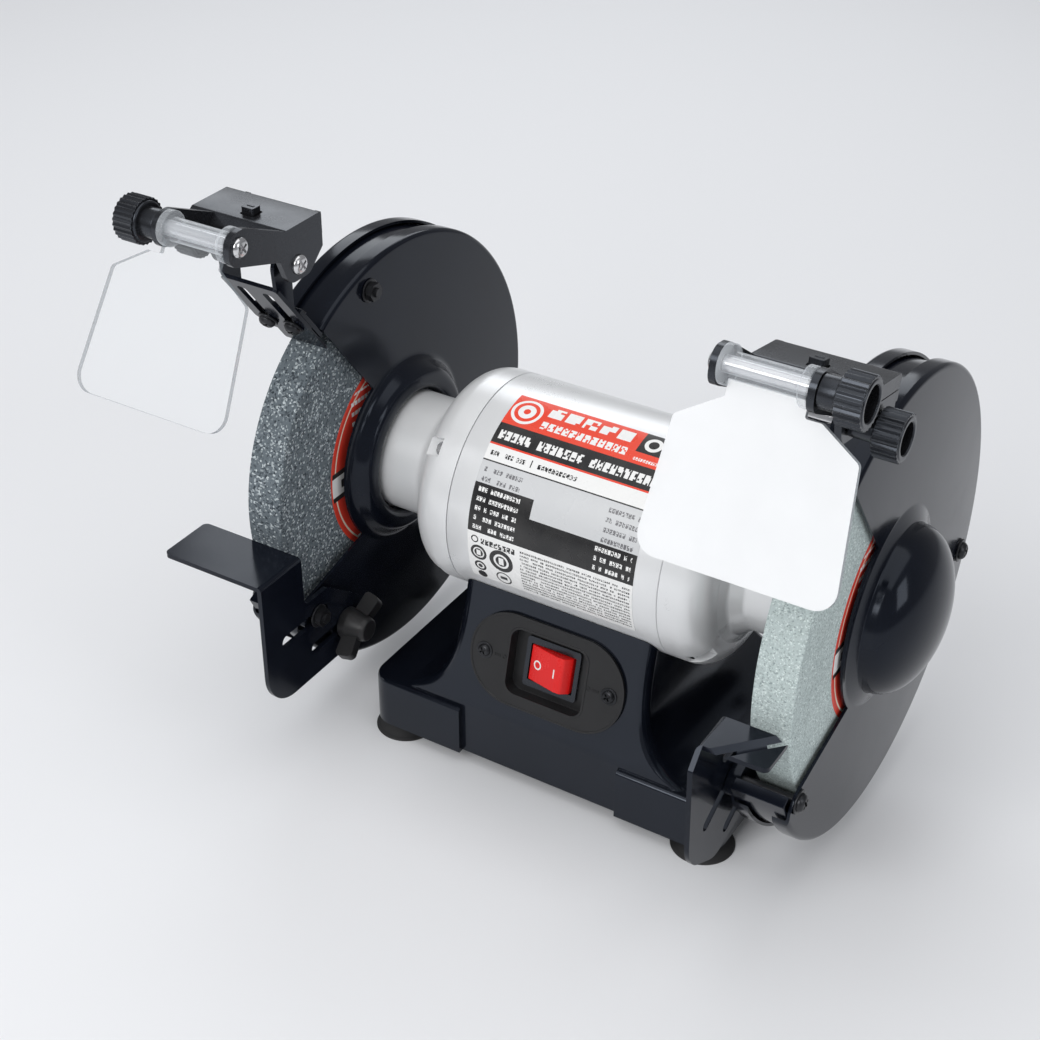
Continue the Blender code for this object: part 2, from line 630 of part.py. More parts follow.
def build_guard(side, sign, machine):
    """Inner guard, band, outer cover and the cover's three bolts on one side."""
    centre = (0, 0, SHAFT_HEIGHT)
    turn = ACROSS if sign > 0 else ACROSS_LEFT
    rim = GUARD_RADIUS - SHEET / 2
    inner = [(JOURNAL_RADIUS + 0.0120, GUARD_WEB), (NECK_RADIUS + 0.0012, GUARD_WEB),
             (NECK_RADIUS + 0.0030, GUARD_FACE - BULGE_DEPTH),
             (NECK_RADIUS + 0.0110, GUARD_FACE - BULGE_DEPTH), (HUB_RADIUS - 0.0035, GUARD_FACE),
             (rim - 0.0009, GUARD_FACE), (rim, GUARD_FACE + 0.0011), (rim, GUARD_FACE + RIM_DEPTH)]
    guard = turned(f"inner_guard_{side}", inner, machine, centre, turn, BLACK_PAINT, SEGMENTS, SHEET)
    dome = [(DOME_RADIUS * math.sin(math.pi / 2 * i / 5),
             COVER_FACE + 0.0040 + (DOME_HEIGHT - 0.0040) * math.cos(math.pi / 2 * i / 5))
            for i in range(6)]
    outer = dome + [(HUB_RADIUS - 0.0040, COVER_FACE), (rim - 0.0009, COVER_FACE),
                    (rim, COVER_FACE - 0.0011), (rim, COVER_FACE - RIM_DEPTH)]
    cover = turned(f"outer_cover_{side}", outer, machine, centre, turn, BLACK_PAINT, SEGMENTS, SHEET)

    middle = sign * (GUARD_FACE + COVER_FACE) / 2
    opening = put(f"guard_opening_{side}", sheet("guard_opening", guard_opening(), 0.120), machine,
                  (middle, 0, SHAFT_HEIGHT), ACROSS)
    knob = polar(KNOB_CIRCLE, KNOB_ANGLE)
    boss_height = REST_BOSS_HEIGHT + SHEET / 2
    for name, point in (("nose", polar(BOLT_CIRCLE, math.radians(BOLT_ANGLES["nose"]))),
                        ("knob", knob)):
        boss = put(f"rest_boss_{name}_{side}", rod(0.0085, -boss_height / 2, boss_height / 2),
                   machine, (sign * (GUARD_FACE - boss_height / 2), point.x, SHAFT_HEIGHT + point.y),
                   ACROSS)
        join(guard, boss)
    cut(guard, opening)
    cut(cover, opening)
    stud_hole = rod(KNOB_STUD_RADIUS + GAP, -0.012, 0.012)
    cut(guard, put(f"knob_hole_{side}", stud_hole, machine,
                   (sign * GUARD_FACE, knob.x, SHAFT_HEIGHT + knob.y), ACROSS))

    for name, degrees in BOLT_ANGLES.items():
        spot = polar(BOLT_CIRCLE, math.radians(degrees))
        place = (0, spot.x, SHAFT_HEIGHT + spot.y)
        hole = put(f"bolt_hole_{name}_{side}", rod(BOLT_RADIUS + GAP, -0.03, 0.03), machine,
                   (middle, *place[1:]), ACROSS)
        cut(guard, hole)
        cut(cover, hole)
        inside = GUARD_FACE - SHEET / 2 - GAP
        if name == "nose":
            inside = LEG_OUT - REST_SHEET / 2 - GAP
        outside = COVER_FACE + SHEET / 2 + GAP
        bolt = [(0, outside + 0.0036), (0.0042, outside + 0.0036), (0.0046, outside + 0.0008),
                (0.0058, outside + 0.0008), (0.0058, outside), (BOLT_RADIUS, outside),
                (BOLT_RADIUS, inside), (0.0062, inside), (0.0062, inside - 0.0008),
                (0.0046, inside - 0.0008), (0.0046, inside - 0.0042), (BOLT_RADIUS, inside - 0.0042),
                (BOLT_RADIUS, inside - 0.0060), (0, inside - 0.0060)]
        turned(f"cover_bolt_{name}_{side}", bolt, machine, place, turn, BLACK_STEEL, 10)
    build_band(side, sign, machine)


def build_band(side, sign, machine):
    """The band round the wheel, its upper flange and the flange's two studs."""
    front, back = -CUT_TOP_OFFSET + 0.0003 + SHEET + 0.0010, -CUT_TOP_OFFSET + 0.0003
    flange_end = WHEEL_RADIUS + STUD_OUT + 0.0075
    start = math.atan2(*on_cut(chord(BAND_OUTSIDE, back), back).yx)
    lip = SHEET / BAND_OUTSIDE
    low = BAND_LOW_ANGLE - 2 * math.pi
    inner_start = math.atan2(*on_cut(chord(BAND_INSIDE, front), front).yx)
    outline = [on_cut(flange_end, front), on_cut(flange_end, back)]
    outline += arc((0, 0), BAND_OUTSIDE, start, low, 28)
    outline += [polar(BAND_INSIDE - 0.0045, low), polar(BAND_INSIDE - 0.0045, low + lip)]
    outline += arc((0, 0), BAND_INSIDE, low + lip, inner_start, 28)
    width = BAND_END - BAND_START
    middle = (BAND_START + BAND_END) / 2
    band = put(f"guard_band_{side}", sheet("guard_band", outline, width), machine,
               (sign * middle, 0, SHAFT_HEIGHT), ACROSS, BLACK_PAINT)
    stud_at = on_cut(WHEEL_RADIUS + STUD_OUT, 0.0)
    face = bracket_front() + GAP
    for name, offset in (("in", -STUD_SPACING / 2), ("out", STUD_SPACING / 2)):
        profile = [(0, face + 0.0040), (0.0030, face + 0.0040), (0.0042, face + 0.0030),
                   (0.0042, face + 0.0012), (0.0052, face + 0.0012), (0.0052, face),
                   (0.0025, face), (0.0025, back + 0.0010), (0, back + 0.0010)]
        stud = turned(f"bracket_stud_{name}_{side}", profile, machine,
                      (sign * (bracket_middle() + offset), stud_at.x, SHAFT_HEIGHT + stud_at.y),
                      (CUT_TOP_ANGLE, 0, 0), None, 10)
        join(band, stud)


# ---- tool rests -------------------------------------------------------------------
def bolt_points():
    """Where the nose bolt and the wing knob pass through a rest's leg, in (Y, Z)."""
    nose = polar(BOLT_CIRCLE, math.radians(BOLT_ANGLES["nose"])) + Vector((0, SHAFT_HEIGHT))
    knob = polar(KNOB_CIRCLE, KNOB_ANGLE) + Vector((0, SHAFT_HEIGHT))
    return nose, knob


def build_rest(side, sign, machine):
    """One tool rest: a table bent over from a slotted leg. The right one has a V groove."""
    nose, knob = bolt_points()
    table = SHAFT_HEIGHT - REST_TOP_BELOW_SHAFT
    back = -chord(WHEEL_RADIUS, REST_TOP_BELOW_SHAFT + REST_SHEET) - REST_GAP
    plain = side == "left"
    front = back - (0.0320 if plain else 0.0230)
    reach = WHEEL_END + (0.0280 if plain else 0.0006)
    if plain:
        tilt = 0.0
        leg = [(front, table, 0), (front, knob.y - 0.0170, 0.0200), (knob.x + 0.0130, knob.y - 0.0170, 0.009),
               (knob.x + 0.0130, knob.y + 0.0100, 0.0080), (back + 0.0190, nose.y + 0.0120, 0.0050),
               (back, nose.y + 0.0120, 0.0040), (back, table, 0)]
    else:
        tilt = math.radians(28.0)
        leg = [(front, table, 0), (front - 0.0085, table - 0.0095, 0.002),
               (front - 0.0060, knob.y - 0.0080, 0.0200), (nose.x - 0.0110, knob.y - 0.0240, 0.0160),
               (knob.x + 0.0120, knob.y - 0.0120, 0.0090), (knob.x + 0.0120, knob.y + 0.0120, 0.0080),
               (back + 0.0190, nose.y + 0.0130, 0.0050), (back, nose.y + 0.0130, 0.0040),
               (back, table, 0)]
    heading = polar(1.0, tilt)
    slots = [slot(nose - heading * 0.0260, nose + heading * 0.0050, SLOT_WIDTH),
             slot(knob - heading * 0.0260, knob + heading * 0.0050, SLOT_WIDTH)]
    rest = put(f"tool_rest_{side}", sheet("tool_rest_leg", rounded(leg, 3), REST_SHEET, slots), machine,
               (sign * LEG_OUT, 0, 0), ACROSS, BLACK_PAINT)
    inner = LEG_OUT - REST_SHEET / 2
    length = reach - inner
    bar = sheet("tool_rest_table", rectangle(length, back - front, 0.0030), REST_SHEET)
    top = put(f"rest_table_{side}", bar, machine,
              (sign * (inner + length / 2), (front + back) / 2, table - REST_SHEET / 2))
    join(rest, top)
    if not plain:
        angle = math.radians(42.0)
        place = (sign * (LEG_OUT + 0.0200), (front + back) / 2, table)
        ridge = sheet("groove_ridge", [(-0.0085, -0.0005), (0.0085, -0.0005), (0.0, -0.0068)], 0.014)
        notch = sheet("groove_notch", [(-0.0055, 0.0020), (0.0055, 0.0020), (0.0, -0.0040)], 0.080)
        turn = (math.pi / 2, 0, -angle)
        join(rest, put("groove_ridge", ridge, machine, place, turn))
        cut(rest, put("groove_notch", notch, machine, place, turn))
    build_wing_knob(side, sign, machine, knob)


def build_wing_knob(side, sign, machine, place):
    """Wing screw that clamps a tool rest, turning about its own stud."""
    axis = empty(f"rest_knob_axis_{side}", machine, (0, *place))
    turn = ACROSS if sign > 0 else ACROSS_LEFT
    face = LEG_OUT - REST_SHEET / 2 - GAP
    tip = GUARD_FACE + SHEET / 2 + 0.0024
    hub = [(0, tip), (KNOB_STUD_RADIUS, tip), (KNOB_STUD_RADIUS, face), (0.0085, face),
           (0.0085, face - 0.0040), (0.0070, face - 0.0130), (0.0060, face - 0.0150),
           (0, face - 0.0150)]
    knob = turned(f"rest_knob_{side}", hub, axis, (0, 0, 0), turn, BLACK_PLASTIC, 14)
    wing = sheet("wing", rounded([(-0.0190, -0.0042, 0.0015), (0.0190, -0.0042, 0.0015),
                                  (0.0170, 0.0050, 0.0020), (-0.0170, 0.0050, 0.0020)], 2), 0.0062)
    upright = Matrix(((0, -sign, 0), (1, 0, 0), (0, 0, 1)))
    blade_turn = (Matrix.Rotation(WING_ANGLE, 3, "X") @ upright).to_euler()
    join(knob, put(f"wings_{side}", wing, axis, (sign * (face - 0.0085), 0, 0), blade_turn))


# ---- eye shields and lights -------------------------------------------------------
def bracket_front():
    """Front face of the bracket, measured in front of the shaft's radial plane."""
    flange_front = -CUT_TOP_OFFSET + 0.0003 + SHEET + 0.0010
    return flange_front + DEFLECTOR_SHEET + BRACKET_SHEET + 2 * GAP


def bracket_middle():
    return WHEEL_MIDDLE - 0.0020


def build_shield_bracket(side, sign, machine):
    """Spark deflector and the slotted bracket that holds the light, both on the studs."""
    on_plane = (CUT_TOP_ANGLE, 0, 0)
    middle = sign * bracket_middle()
    studs = (-STUD_SPACING / 2, STUD_SPACING / 2)
    stud = WHEEL_RADIUS + STUD_OUT
    plate_centre = bracket_front() - BRACKET_SHEET / 2
    deflector_centre = bracket_front() - BRACKET_SHEET - GAP - DEFLECTOR_SHEET / 2

    def on_bracket(offset):
        point = TOP_FRONT * offset
        return (middle, point.x, SHAFT_HEIGHT + point.y)

    low = WHEEL_RADIUS + 0.0035
    plate = rounded([(-0.0125, low, 0.001), (0.0125, low, 0.001), (0.0125, low + 0.0365, 0.002),
                     (-0.0125, low + 0.0365, 0.002)], 2)
    slots = [slot((x, stud - 0.0052), (x, stud + 0.0031), 0.0056) for x in studs]
    put(f"spark_deflector_{side}", sheet("spark_deflector", plate, DEFLECTOR_SHEET, slots), machine,
        on_bracket(deflector_centre), on_plane, BLACK_PAINT)

    half = 0.0163
    low, high = WHEEL_RADIUS + 0.0200, WHEEL_RADIUS + 0.0660
    plate = rounded([(-half + 0.0060, low, 0.001), (half - 0.0060, low, 0.001),
                     (half, low + 0.0080, 0.001), (half, high, 0.002), (-half, high, 0.002),
                     (-half, low + 0.0080, 0.001)], 2)
    slots = [slot((x, stud - 0.0003), (x, stud + 0.0280), 0.0056) for x in studs]
    bracket = put(f"shield_bracket_{side}", sheet("shield_bracket", plate, BRACKET_SHEET, slots),
                  machine, on_bracket(plate_centre), on_plane, BLACK_PAINT)
    pivot = WHEEL_RADIUS + PIVOT_OUT
    back = bracket_front() - BRACKET_SHEET / 2
    radius = 0.0068
    ear = [(*on_cut(high - 0.0002, back), 0), (*on_cut(high - 0.0200, back), 0),
           (*on_cut(pivot - radius, -PIVOT_BACK + 0.0010), 0.002),
           (*on_cut(pivot - radius, -PIVOT_BACK - radius), radius - 0.0002),
           (*on_cut(pivot + radius, -PIVOT_BACK - radius), radius - 0.0002),
           (*on_cut(pivot + radius, -PIVOT_BACK + radius), radius - 0.0002)]
    pin = on_cut(pivot, -PIVOT_BACK)
    for name, offset in (("in", EAR_INSET - half), ("out", half - EAR_INSET)):
        mesh = sheet("bracket_ear", rounded(ear, 3), BRACKET_SHEET,
                     [circle(PIN_RADIUS + GAP, pin, 14)])
        join(bracket, put(f"bracket_ear_{name}_{side}", mesh, machine,
                          (middle + sign * offset, 0, SHAFT_HEIGHT), ACROSS))


def build_light(side, sign, machine):
    """Battery light on the bracket, with its button, lens, arms, pins and pivot knob."""
    pivot = on_cut(WHEEL_RADIUS + PIVOT_OUT, -PIVOT_BACK)
    axis = empty(f"light_axis_{side}", machine, (0, pivot.x, SHAFT_HEIGHT + pivot.y),
                 (math.radians(LIGHT_PITCH[side]), 0, 0))
    turn = ACROSS if sign > 0 else ACROSS_LEFT
    body = rounded([(0.0183, 0.0076, 0.001), (0.0183, 0.0193, 0.0015), (-0.0080, 0.0193, 0.002),
                    (-0.0125, 0.0150, 0.002), (-0.0125, 0.0076, 0.001)], 2)
    length = LIGHT_END - LIGHT_IN
    middle = (LIGHT_END + LIGHT_IN) / 2
    box = put(f"light_box_{side}", sheet("light_box", body, length), axis, (sign * middle, 0, 0),
              ACROSS, BLACK_PLASTIC)
    skirt = rounded([(0.0180, 0.0023, 0.001), (0.0180, 0.0120, 0), (0.0085, 0.0120, 0),
                     (0.0085, 0.0023, 0.001)], 2)
    join(box, put(f"light_skirt_{side}", sheet("light_skirt", skirt, length - 0.0010), axis,
                  (sign * middle, 0, 0), ACROSS))
    arm = rounded([(0.0182, 0.0024, 0), (0.0182, 0.0190, 0), (-0.0080, 0.0190, 0),
                   (ARM_Y + 0.0040, ARM_Z + 0.0076, 0.0070), (ARM_Y - 0.0072, ARM_Z + 0.0072, 0.0068),
                   (ARM_Y - 0.0072, ARM_Z - 0.0072, 0.0068), (-0.0130, 0.0060, 0.002),
                   (-0.0075, -0.0075, 0.0070), (0.0075, -0.0075, 0.0070)], 3)
    for name, out in (("in", LIGHT_IN + PLATE_THICKNESS / 2), ("out", LIGHT_OUT + PLATE_THICKNESS / 2)):
        join(box, put(f"light_arm_{name}_{side}", sheet("light_arm", arm, PLATE_THICKNESS), axis,
                      (sign * out, 0, 0), ACROSS))
    collar = LIGHT_IN + PLATE_THICKNESS
    pins = (("pivot", (0, 0, 0), 0.0180, 0.0050), ("shield", (0, ARM_Y, ARM_Z), 0.0110, 0.0))
    for name, place, past, collar_length in pins:
        end = LIGHT_OUT + PLATE_THICKNESS + past - 0.0030
        profile = [(0, end), (PIN_RADIUS, end), (PIN_RADIUS, collar + collar_length - 0.0012),
                   (0.0050, collar + collar_length - 0.0012), (0.0050, LIGHT_IN + 0.0005),
                   (0, LIGHT_IN + 0.0005)]
        if not collar_length:
            profile = [(0, end), (PIN_RADIUS, end), (PIN_RADIUS, LIGHT_IN + 0.0005),
                       (0, LIGHT_IN + 0.0005)]
        join(box, turned(f"{name}_pin_{side}", profile, axis, place, turn, None, 12))

    button_x = sign * WHEEL_MIDDLE
    cut(box, put(f"button_well_{side}", rod(0.0033, 0.0125, 0.0300, 16), axis,
                 (button_x, 0.0, 0)))
    button = empty(f"light_button_axis_{side}", axis, (button_x, 0.0, 0.0193))
    turned(f"light_button_{side}", [(0, 0.0034), (0.0024, 0.0034), (0.0030, 0.0028), (0.0030, -0.0048),
                                    (0, -0.0048)], button, material=BLACK_PLASTIC, segments=14)
    cut(box, put(f"lens_well_{side}", rod(0.0047, 0.0, 0.0098, 16), axis, (button_x, -0.0062, 0)))
    turned(f"light_lens_{side}", [(0, 0.0094), (0.0044, 0.0094), (0.0044, 0.0072), (0.0030, 0.0062),
                                  (0, 0.0058)], axis, (button_x, -0.0062, 0), material=CLEAR,
           segments=16)

    face = LIGHT_OUT + PLATE_THICKNESS + GAP
    knob_axis = empty(f"pivot_knob_axis_{side}", axis, (0, 0, 0))
    end = face + 0.0230
    turned(f"pivot_knob_{side}", [(0.0060, end - 0.0012), (0.0088, end), (0.0104, end - 0.0014),
                                  (0.0104, end - 0.0110), (0.0090, end - 0.0122),
                                  (0.0052, end - 0.0122), (0.0052, face + 0.0010), (0.0048, face),
                                  (PIN_RADIUS + GAP, face), (PIN_RADIUS + GAP, end - 0.0050),
                                  (0.0044, end - 0.0042), (0.0050, end - 0.0012)],
           knob_axis, (0, 0, 0), turn, BLACK_PLASTIC, 14)
    build_eye_shield(side, sign, axis, face)


def build_eye_shield(side, sign, light_axis, face):
    """Clear shield moulded on its tube, and the knob that clamps it."""
    turn = ACROSS if sign > 0 else ACROSS_LEFT
    lean = math.radians(SHIELD_LEAN[side] - LIGHT_PITCH[side])
    axis = empty(f"shield_axis_{side}", light_axis, (0, ARM_Y, ARM_Z), (lean, 0, 0))
    start, end = LIGHT_IN + PLATE_THICKNESS + GAP, LIGHT_OUT - GAP
    centre = WHEEL_MIDDLE
    top_in, top_out = start + 0.0034, end - 0.0004
    half = SHIELD_HALF_WIDTH
    long = SHIELD_LENGTH
    drop = -SHIELD_SHOULDER
    pane = rounded([(top_in, 0.0, 0), (top_out, 0.0, 0), (top_out, drop, 0.001),
                    (top_out + 0.0070, drop, 0.002), (centre + half - 0.0045, drop - 0.0110, 0.003),
                    (centre + half, -long, 0.0090), (centre - half, -long, 0.0090),
                    (centre - half + 0.0050, drop - 0.0120, 0.003), (top_in, drop, 0.001)], 3)
    pane = [Vector((sign * point.x, point.y)) for point in pane][::sign]
    tube = [(0.0083, end), (0.0083, end - 0.0036), (TUBE_RADIUS, end - 0.0040),
            (TUBE_RADIUS, start + 0.0040), (0.0083, start + 0.0036), (0.0083, start),
            (TUBE_BORE, start), (TUBE_BORE, end)]
    shield = put(f"eye_shield_{side}", sheet("eye_shield", pane, SHIELD_THICKNESS), axis, (0, 0, 0),
                 (math.pi / 2, 0, 0), CLEAR)
    cut(shield, put(f"tube_clearance_{side}", rod(TUBE_BORE + 0.0004, start - 0.001, end + 0.001, 16),
                    axis, (0, 0, 0), turn))
    join(shield, turned(f"shield_tube_{side}", tube, axis, (0, 0, 0), turn, None, 16))

    knob_axis = empty(f"shield_knob_axis_{side}", light_axis, (0, ARM_Y, ARM_Z))
    high = face + 0.0195
    turned(f"shield_knob_{side}", [(0.0062, high - 0.0012), (0.0092, high), (0.0110, high - 0.0015),
                                   (0.0110, high - 0.0110), (0.0095, high - 0.0122),
                                   (0.0070, high - 0.0122), (0.0070, face), (PIN_RADIUS + GAP, face),
                                   (PIN_RADIUS + GAP, high - 0.0050), (0.0046, high - 0.0042),
                                   (0.0052, high - 0.0012)],
           knob_axis, (0, 0, 0), turn, BLACK_PLASTIC, 14)


# ---- assembly ---------------------------------------------------------------------
def build():
    machine = empty("machine", None, (0, SET_BACK, 0))
    housing = build_base(machine)
    build_switch(machine, housing)
    build_motor(machine)
    build_rotor(machine)
    for side, sign in SIDES.items():
        build_guard(side, sign, machine)
        build_rest(side, sign, machine)
        build_shield_bracket(side, sign, machine)
        build_light(side, sign, machine)
    for item in PARTS.objects:
        if item.type == "MESH":
            item.data.shade_smooth()
            item.data.set_sharp_from_angle(angle=math.radians(35.0))


build()
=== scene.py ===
"""Looks of the bench grinder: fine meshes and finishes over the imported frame.

Metres, +Z up, front towards -Y, shaft along X. Every piece is modelled where the frame
puts it, so finished objects sit at the origin. "Out" is the distance from the middle of
the machine towards either side.
"""
import sys

import json
import logging
import math
from dataclasses import dataclass, field
from enum import Enum
from typing import Iterable, Sequence

import bmesh
import bpy
from bmesh.types import BMesh
from mathutils import Matrix, Vector


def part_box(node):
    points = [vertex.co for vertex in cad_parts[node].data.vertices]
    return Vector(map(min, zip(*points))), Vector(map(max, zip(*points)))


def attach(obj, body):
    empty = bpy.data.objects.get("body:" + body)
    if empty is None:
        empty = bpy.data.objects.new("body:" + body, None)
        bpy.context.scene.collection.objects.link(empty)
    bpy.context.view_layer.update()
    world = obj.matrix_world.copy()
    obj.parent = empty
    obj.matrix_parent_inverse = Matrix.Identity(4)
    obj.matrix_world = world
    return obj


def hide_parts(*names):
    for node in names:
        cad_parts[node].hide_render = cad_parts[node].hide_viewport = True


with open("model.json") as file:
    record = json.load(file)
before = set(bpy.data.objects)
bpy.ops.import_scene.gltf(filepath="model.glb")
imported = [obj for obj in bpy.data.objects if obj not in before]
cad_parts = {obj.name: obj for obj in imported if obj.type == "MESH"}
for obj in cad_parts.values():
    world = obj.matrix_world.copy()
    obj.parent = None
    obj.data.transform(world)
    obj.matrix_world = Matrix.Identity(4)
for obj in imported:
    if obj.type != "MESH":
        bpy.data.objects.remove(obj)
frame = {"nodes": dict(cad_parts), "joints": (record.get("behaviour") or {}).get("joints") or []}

LOG = logging.getLogger("grinder")
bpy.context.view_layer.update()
JOINTS = {joint["name"]: joint for joint in frame["joints"]}
GAP = 0.0003
WELD = 1e-6
FLAT = 0.004
Point = Sequence[float]


class Side(Enum):
    """The two ends of the machine, by the sign of X."""

    LEFT = -1
    RIGHT = 1

    @property
    def tag(self) -> str:
        """The side's name as the nodes spell it."""
        return self.name.lower()


# ---- places ------------------------------------------------------------------------
def middle_of(node: str) -> Vector:
    """The middle of a node's box."""
    low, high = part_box(node)
    return (low + high) / 2


def reach_of(node: str) -> tuple[float, float]:
    """How far out along X a node's box starts and ends."""
    low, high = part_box(node)
    return min(abs(low.x), abs(high.x)), max(abs(low.x), abs(high.x))


def joint_at(name: str) -> Vector:
    """Where a joint's axis runs."""
    return Vector(JOINTS[name]["pos_m"])


SHAFT = joint_at("shaft_spin")


def sideways(sign: int = 1) -> Matrix:
    """The turn that points local Z along X, or against it for a sign of -1."""
    return Matrix(((0, 0, sign), (1, 0, 0), (0, sign, 0))).to_4x4()


def shifted(x: float = 0.0, y: float = 0.0, z: float = 0.0) -> Matrix:
    """A plain shift."""
    return Matrix.Translation((x, y, z))


def across(side: Side, centre: Point = SHAFT) -> Matrix:
    """Place for turned pieces: local Z points out along the shaft from a centre."""
    return shifted(0.0, centre[1], centre[2]) @ sideways(side.value)


def standing(x: float, y: float = SHAFT.y, z: float = SHAFT.z) -> Matrix:
    """Place for sheets drawn in (Y, Z): local Z points along X."""
    return shifted(x, y, z) @ sideways()


# ---- outlines ----------------------------------------------------------------------
def polar(radius: float, angle: float) -> Vector:
    """A flat point at a radius and an angle in radians."""
    return Vector((radius * math.cos(angle), radius * math.sin(angle)))


def arc(centre: Point, radius: float, start: float, end: float, steps: int) -> list[Vector]:
    """Points along an arc, with an angle in radians at each end."""
    middle = Vector(centre)
    return [middle + polar(radius, start + (end - start) * i / steps) for i in range(steps + 1)]


def circle(radius: float, centre: Point = (0.0, 0.0), steps: int = 32) -> list[Vector]:
    """Points round a full circle."""
    return arc(centre, radius, 0.0, 2 * math.pi * (steps - 1) / steps, steps - 1)


def rounded(corners: Sequence[Point], steps: int = 6, closed: bool = True) -> list[Vector]:
    """Line through (x, y, radius) corners, each rounded by its own radius.

    Args:
        corners: The corners in order.
        steps: Pieces in each round.
        closed: Whether the last corner joins the first.

    Returns:
        The points of the line.
    """
    points: list[Vector] = []
    last = len(corners) - 1
    for i, (x, y, radius) in enumerate(corners):
        here = Vector((x, y))
        if radius <= 0 or (not closed and i in (0, last)):
            points.append(here)
            continue
        back = (Vector(corners[i - 1][:2]) - here).normalized()
        ahead = (Vector(corners[(i + 1) % len(corners)][:2]) - here).normalized()
        half = back.angle(ahead) / 2
        reach = radius / math.tan(half)
        centre = here + (back + ahead).normalized() * (radius / math.sin(half))
        first = here + back * reach - centre
        sweep = first.angle_signed(here + ahead * reach - centre)
        points += [centre + Matrix.Rotation(-sweep * k / steps, 2) @ first for k in range(steps + 1)]
    return points


def rectangle(width: float, height: float, radius: float = 0.0, centre: Point = (0.0, 0.0),
              steps: int = 6) -> list[Vector]:
    """A rectangle with rounded corners.

    Args:
        width: Its size along X.
        height: Its size along Y.
        radius: Of its corners.
        centre: Its middle.
        steps: Pieces in each round.

    Returns:
        The points of the rectangle.
    """
    x, y = centre
    w, h = width / 2, height / 2
    return rounded([(x - w, y - h, radius), (x + w, y - h, radius),
                    (x + w, y + h, radius), (x - w, y + h, radius)], steps)


def slot(start: Point, end: Point, width: float, steps: int = 10) -> list[Vector]:
    """A slot with round ends.

    Args:
        start: Centre of its first end.
        end: Centre of its last end.
        width: Its width.
        steps: Pieces in each round.

    Returns:
        The points of the slot.
    """
    first, last = Vector(start), Vector(end)
    heading = math.atan2(*(last - first).yx)
    quarter = math.pi / 2
    return (arc(first, width / 2, heading + quarter, heading + 3 * quarter, steps)
            + arc(last, width / 2, heading - quarter, heading + quarter, steps))


# ---- meshes ------------------------------------------------------------------------
def moved(work: BMesh, place: Matrix) -> BMesh:
    """The same mesh at another place, with its faces pointing outwards.

    Args:
        work: The mesh.
        place: Where it goes.

    Returns:
        The same mesh.
    """
    bmesh.ops.transform(work, matrix=place, verts=work.verts[:])
    bmesh.ops.recalc_face_normals(work, faces=work.faces[:])
    return work


def plate(outline: Sequence[Point], thickness: float, holes: Iterable[Sequence[Point]] = (),
          low: float | None = None) -> BMesh:
    """A flat sheet with holes.

    Args:
        outline: Its outer edge in local X and Y.
        thickness: Its size along local Z.
        holes: Outlines of what is cut from it.
        low: Where it starts along local Z, or None to centre it.

    Returns:
        The sheet as a closed mesh.
    """
    work = bmesh.new()
    start = -thickness / 2 if low is None else low
    for ring in (outline, *holes):
        corners = [work.verts.new((point[0], point[1], start)) for point in ring]
        for one, two in zip(corners, corners[1:] + corners[:1]):
            work.edges.new((one, two))
    bmesh.ops.triangle_fill(work, use_beauty=True, use_dissolve=False, edges=work.edges[:],
                            normal=(0.0, 0.0, 1.0))
    bmesh.ops.dissolve_limit(work, angle_limit=0.002, verts=work.verts[:], edges=work.edges[:])
    grown = bmesh.ops.extrude_face_region(work, geom=work.faces[:])["geom"]
    rising = [item for item in grown if isinstance(item, bmesh.types.BMVert)]
    bmesh.ops.translate(work, verts=rising, vec=(0.0, 0.0, thickness))
    bmesh.ops.recalc_face_normals(work, faces=work.faces[:])
    return work


def turned(profile: Sequence[Point], segments: int = 48, line: bool = False) -> BMesh:
    """A piece turned about local Z.

    Args:
        profile: (radius, height) points, round a ring or from axis to axis.
        segments: Steps of the full turn.
        line: Whether the profile is a line that later gets a wall.

    Returns:
        The turned mesh.
    """
    work = bmesh.new()
    corners = [work.verts.new((radius, 0.0, height)) for radius, height in profile]
    for one, two in zip(corners, corners[1:]):
        work.edges.new((one, two))
    if not line and min(point[0] for point in profile) > 0:
        work.edges.new((corners[-1], corners[0]))
    bmesh.ops.spin(work, geom=work.verts[:] + work.edges[:], cent=(0, 0, 0), axis=(0, 0, 1),
                   dvec=(0, 0, 0), angle=2 * math.pi, steps=segments, use_merge=True)
    bmesh.ops.remove_doubles(work, verts=work.verts[:], dist=1e-7)
    bmesh.ops.recalc_face_normals(work, faces=work.faces[:])
    return work


def block(size: Point, centre: Point = (0.0, 0.0, 0.0)) -> BMesh:
    """A box, for cutting and joining.

    Args:
        size: Its three sizes.
        centre: Its middle.

    Returns:
        The box.
    """
    work = bmesh.new()
    bmesh.ops.create_cube(work, size=1.0, matrix=shifted(*centre) @ Matrix.Diagonal((*size, 1.0)))
    return work


def rod(radius: float, start: float, end: float, segments: int = 32) -> BMesh:
    """A plain round bar along local Z, for cutting and joining.

    Args:
        radius: Of the bar.
        start: Its lower end.
        end: Its upper end.
        segments: Sides of the bar.

    Returns:
        The bar.
    """
    work = bmesh.new()
    bmesh.ops.create_cone(work, cap_ends=True, segments=segments, radius1=radius, radius2=radius,
                          depth=end - start, matrix=shifted(z=(start + end) / 2))
    return work


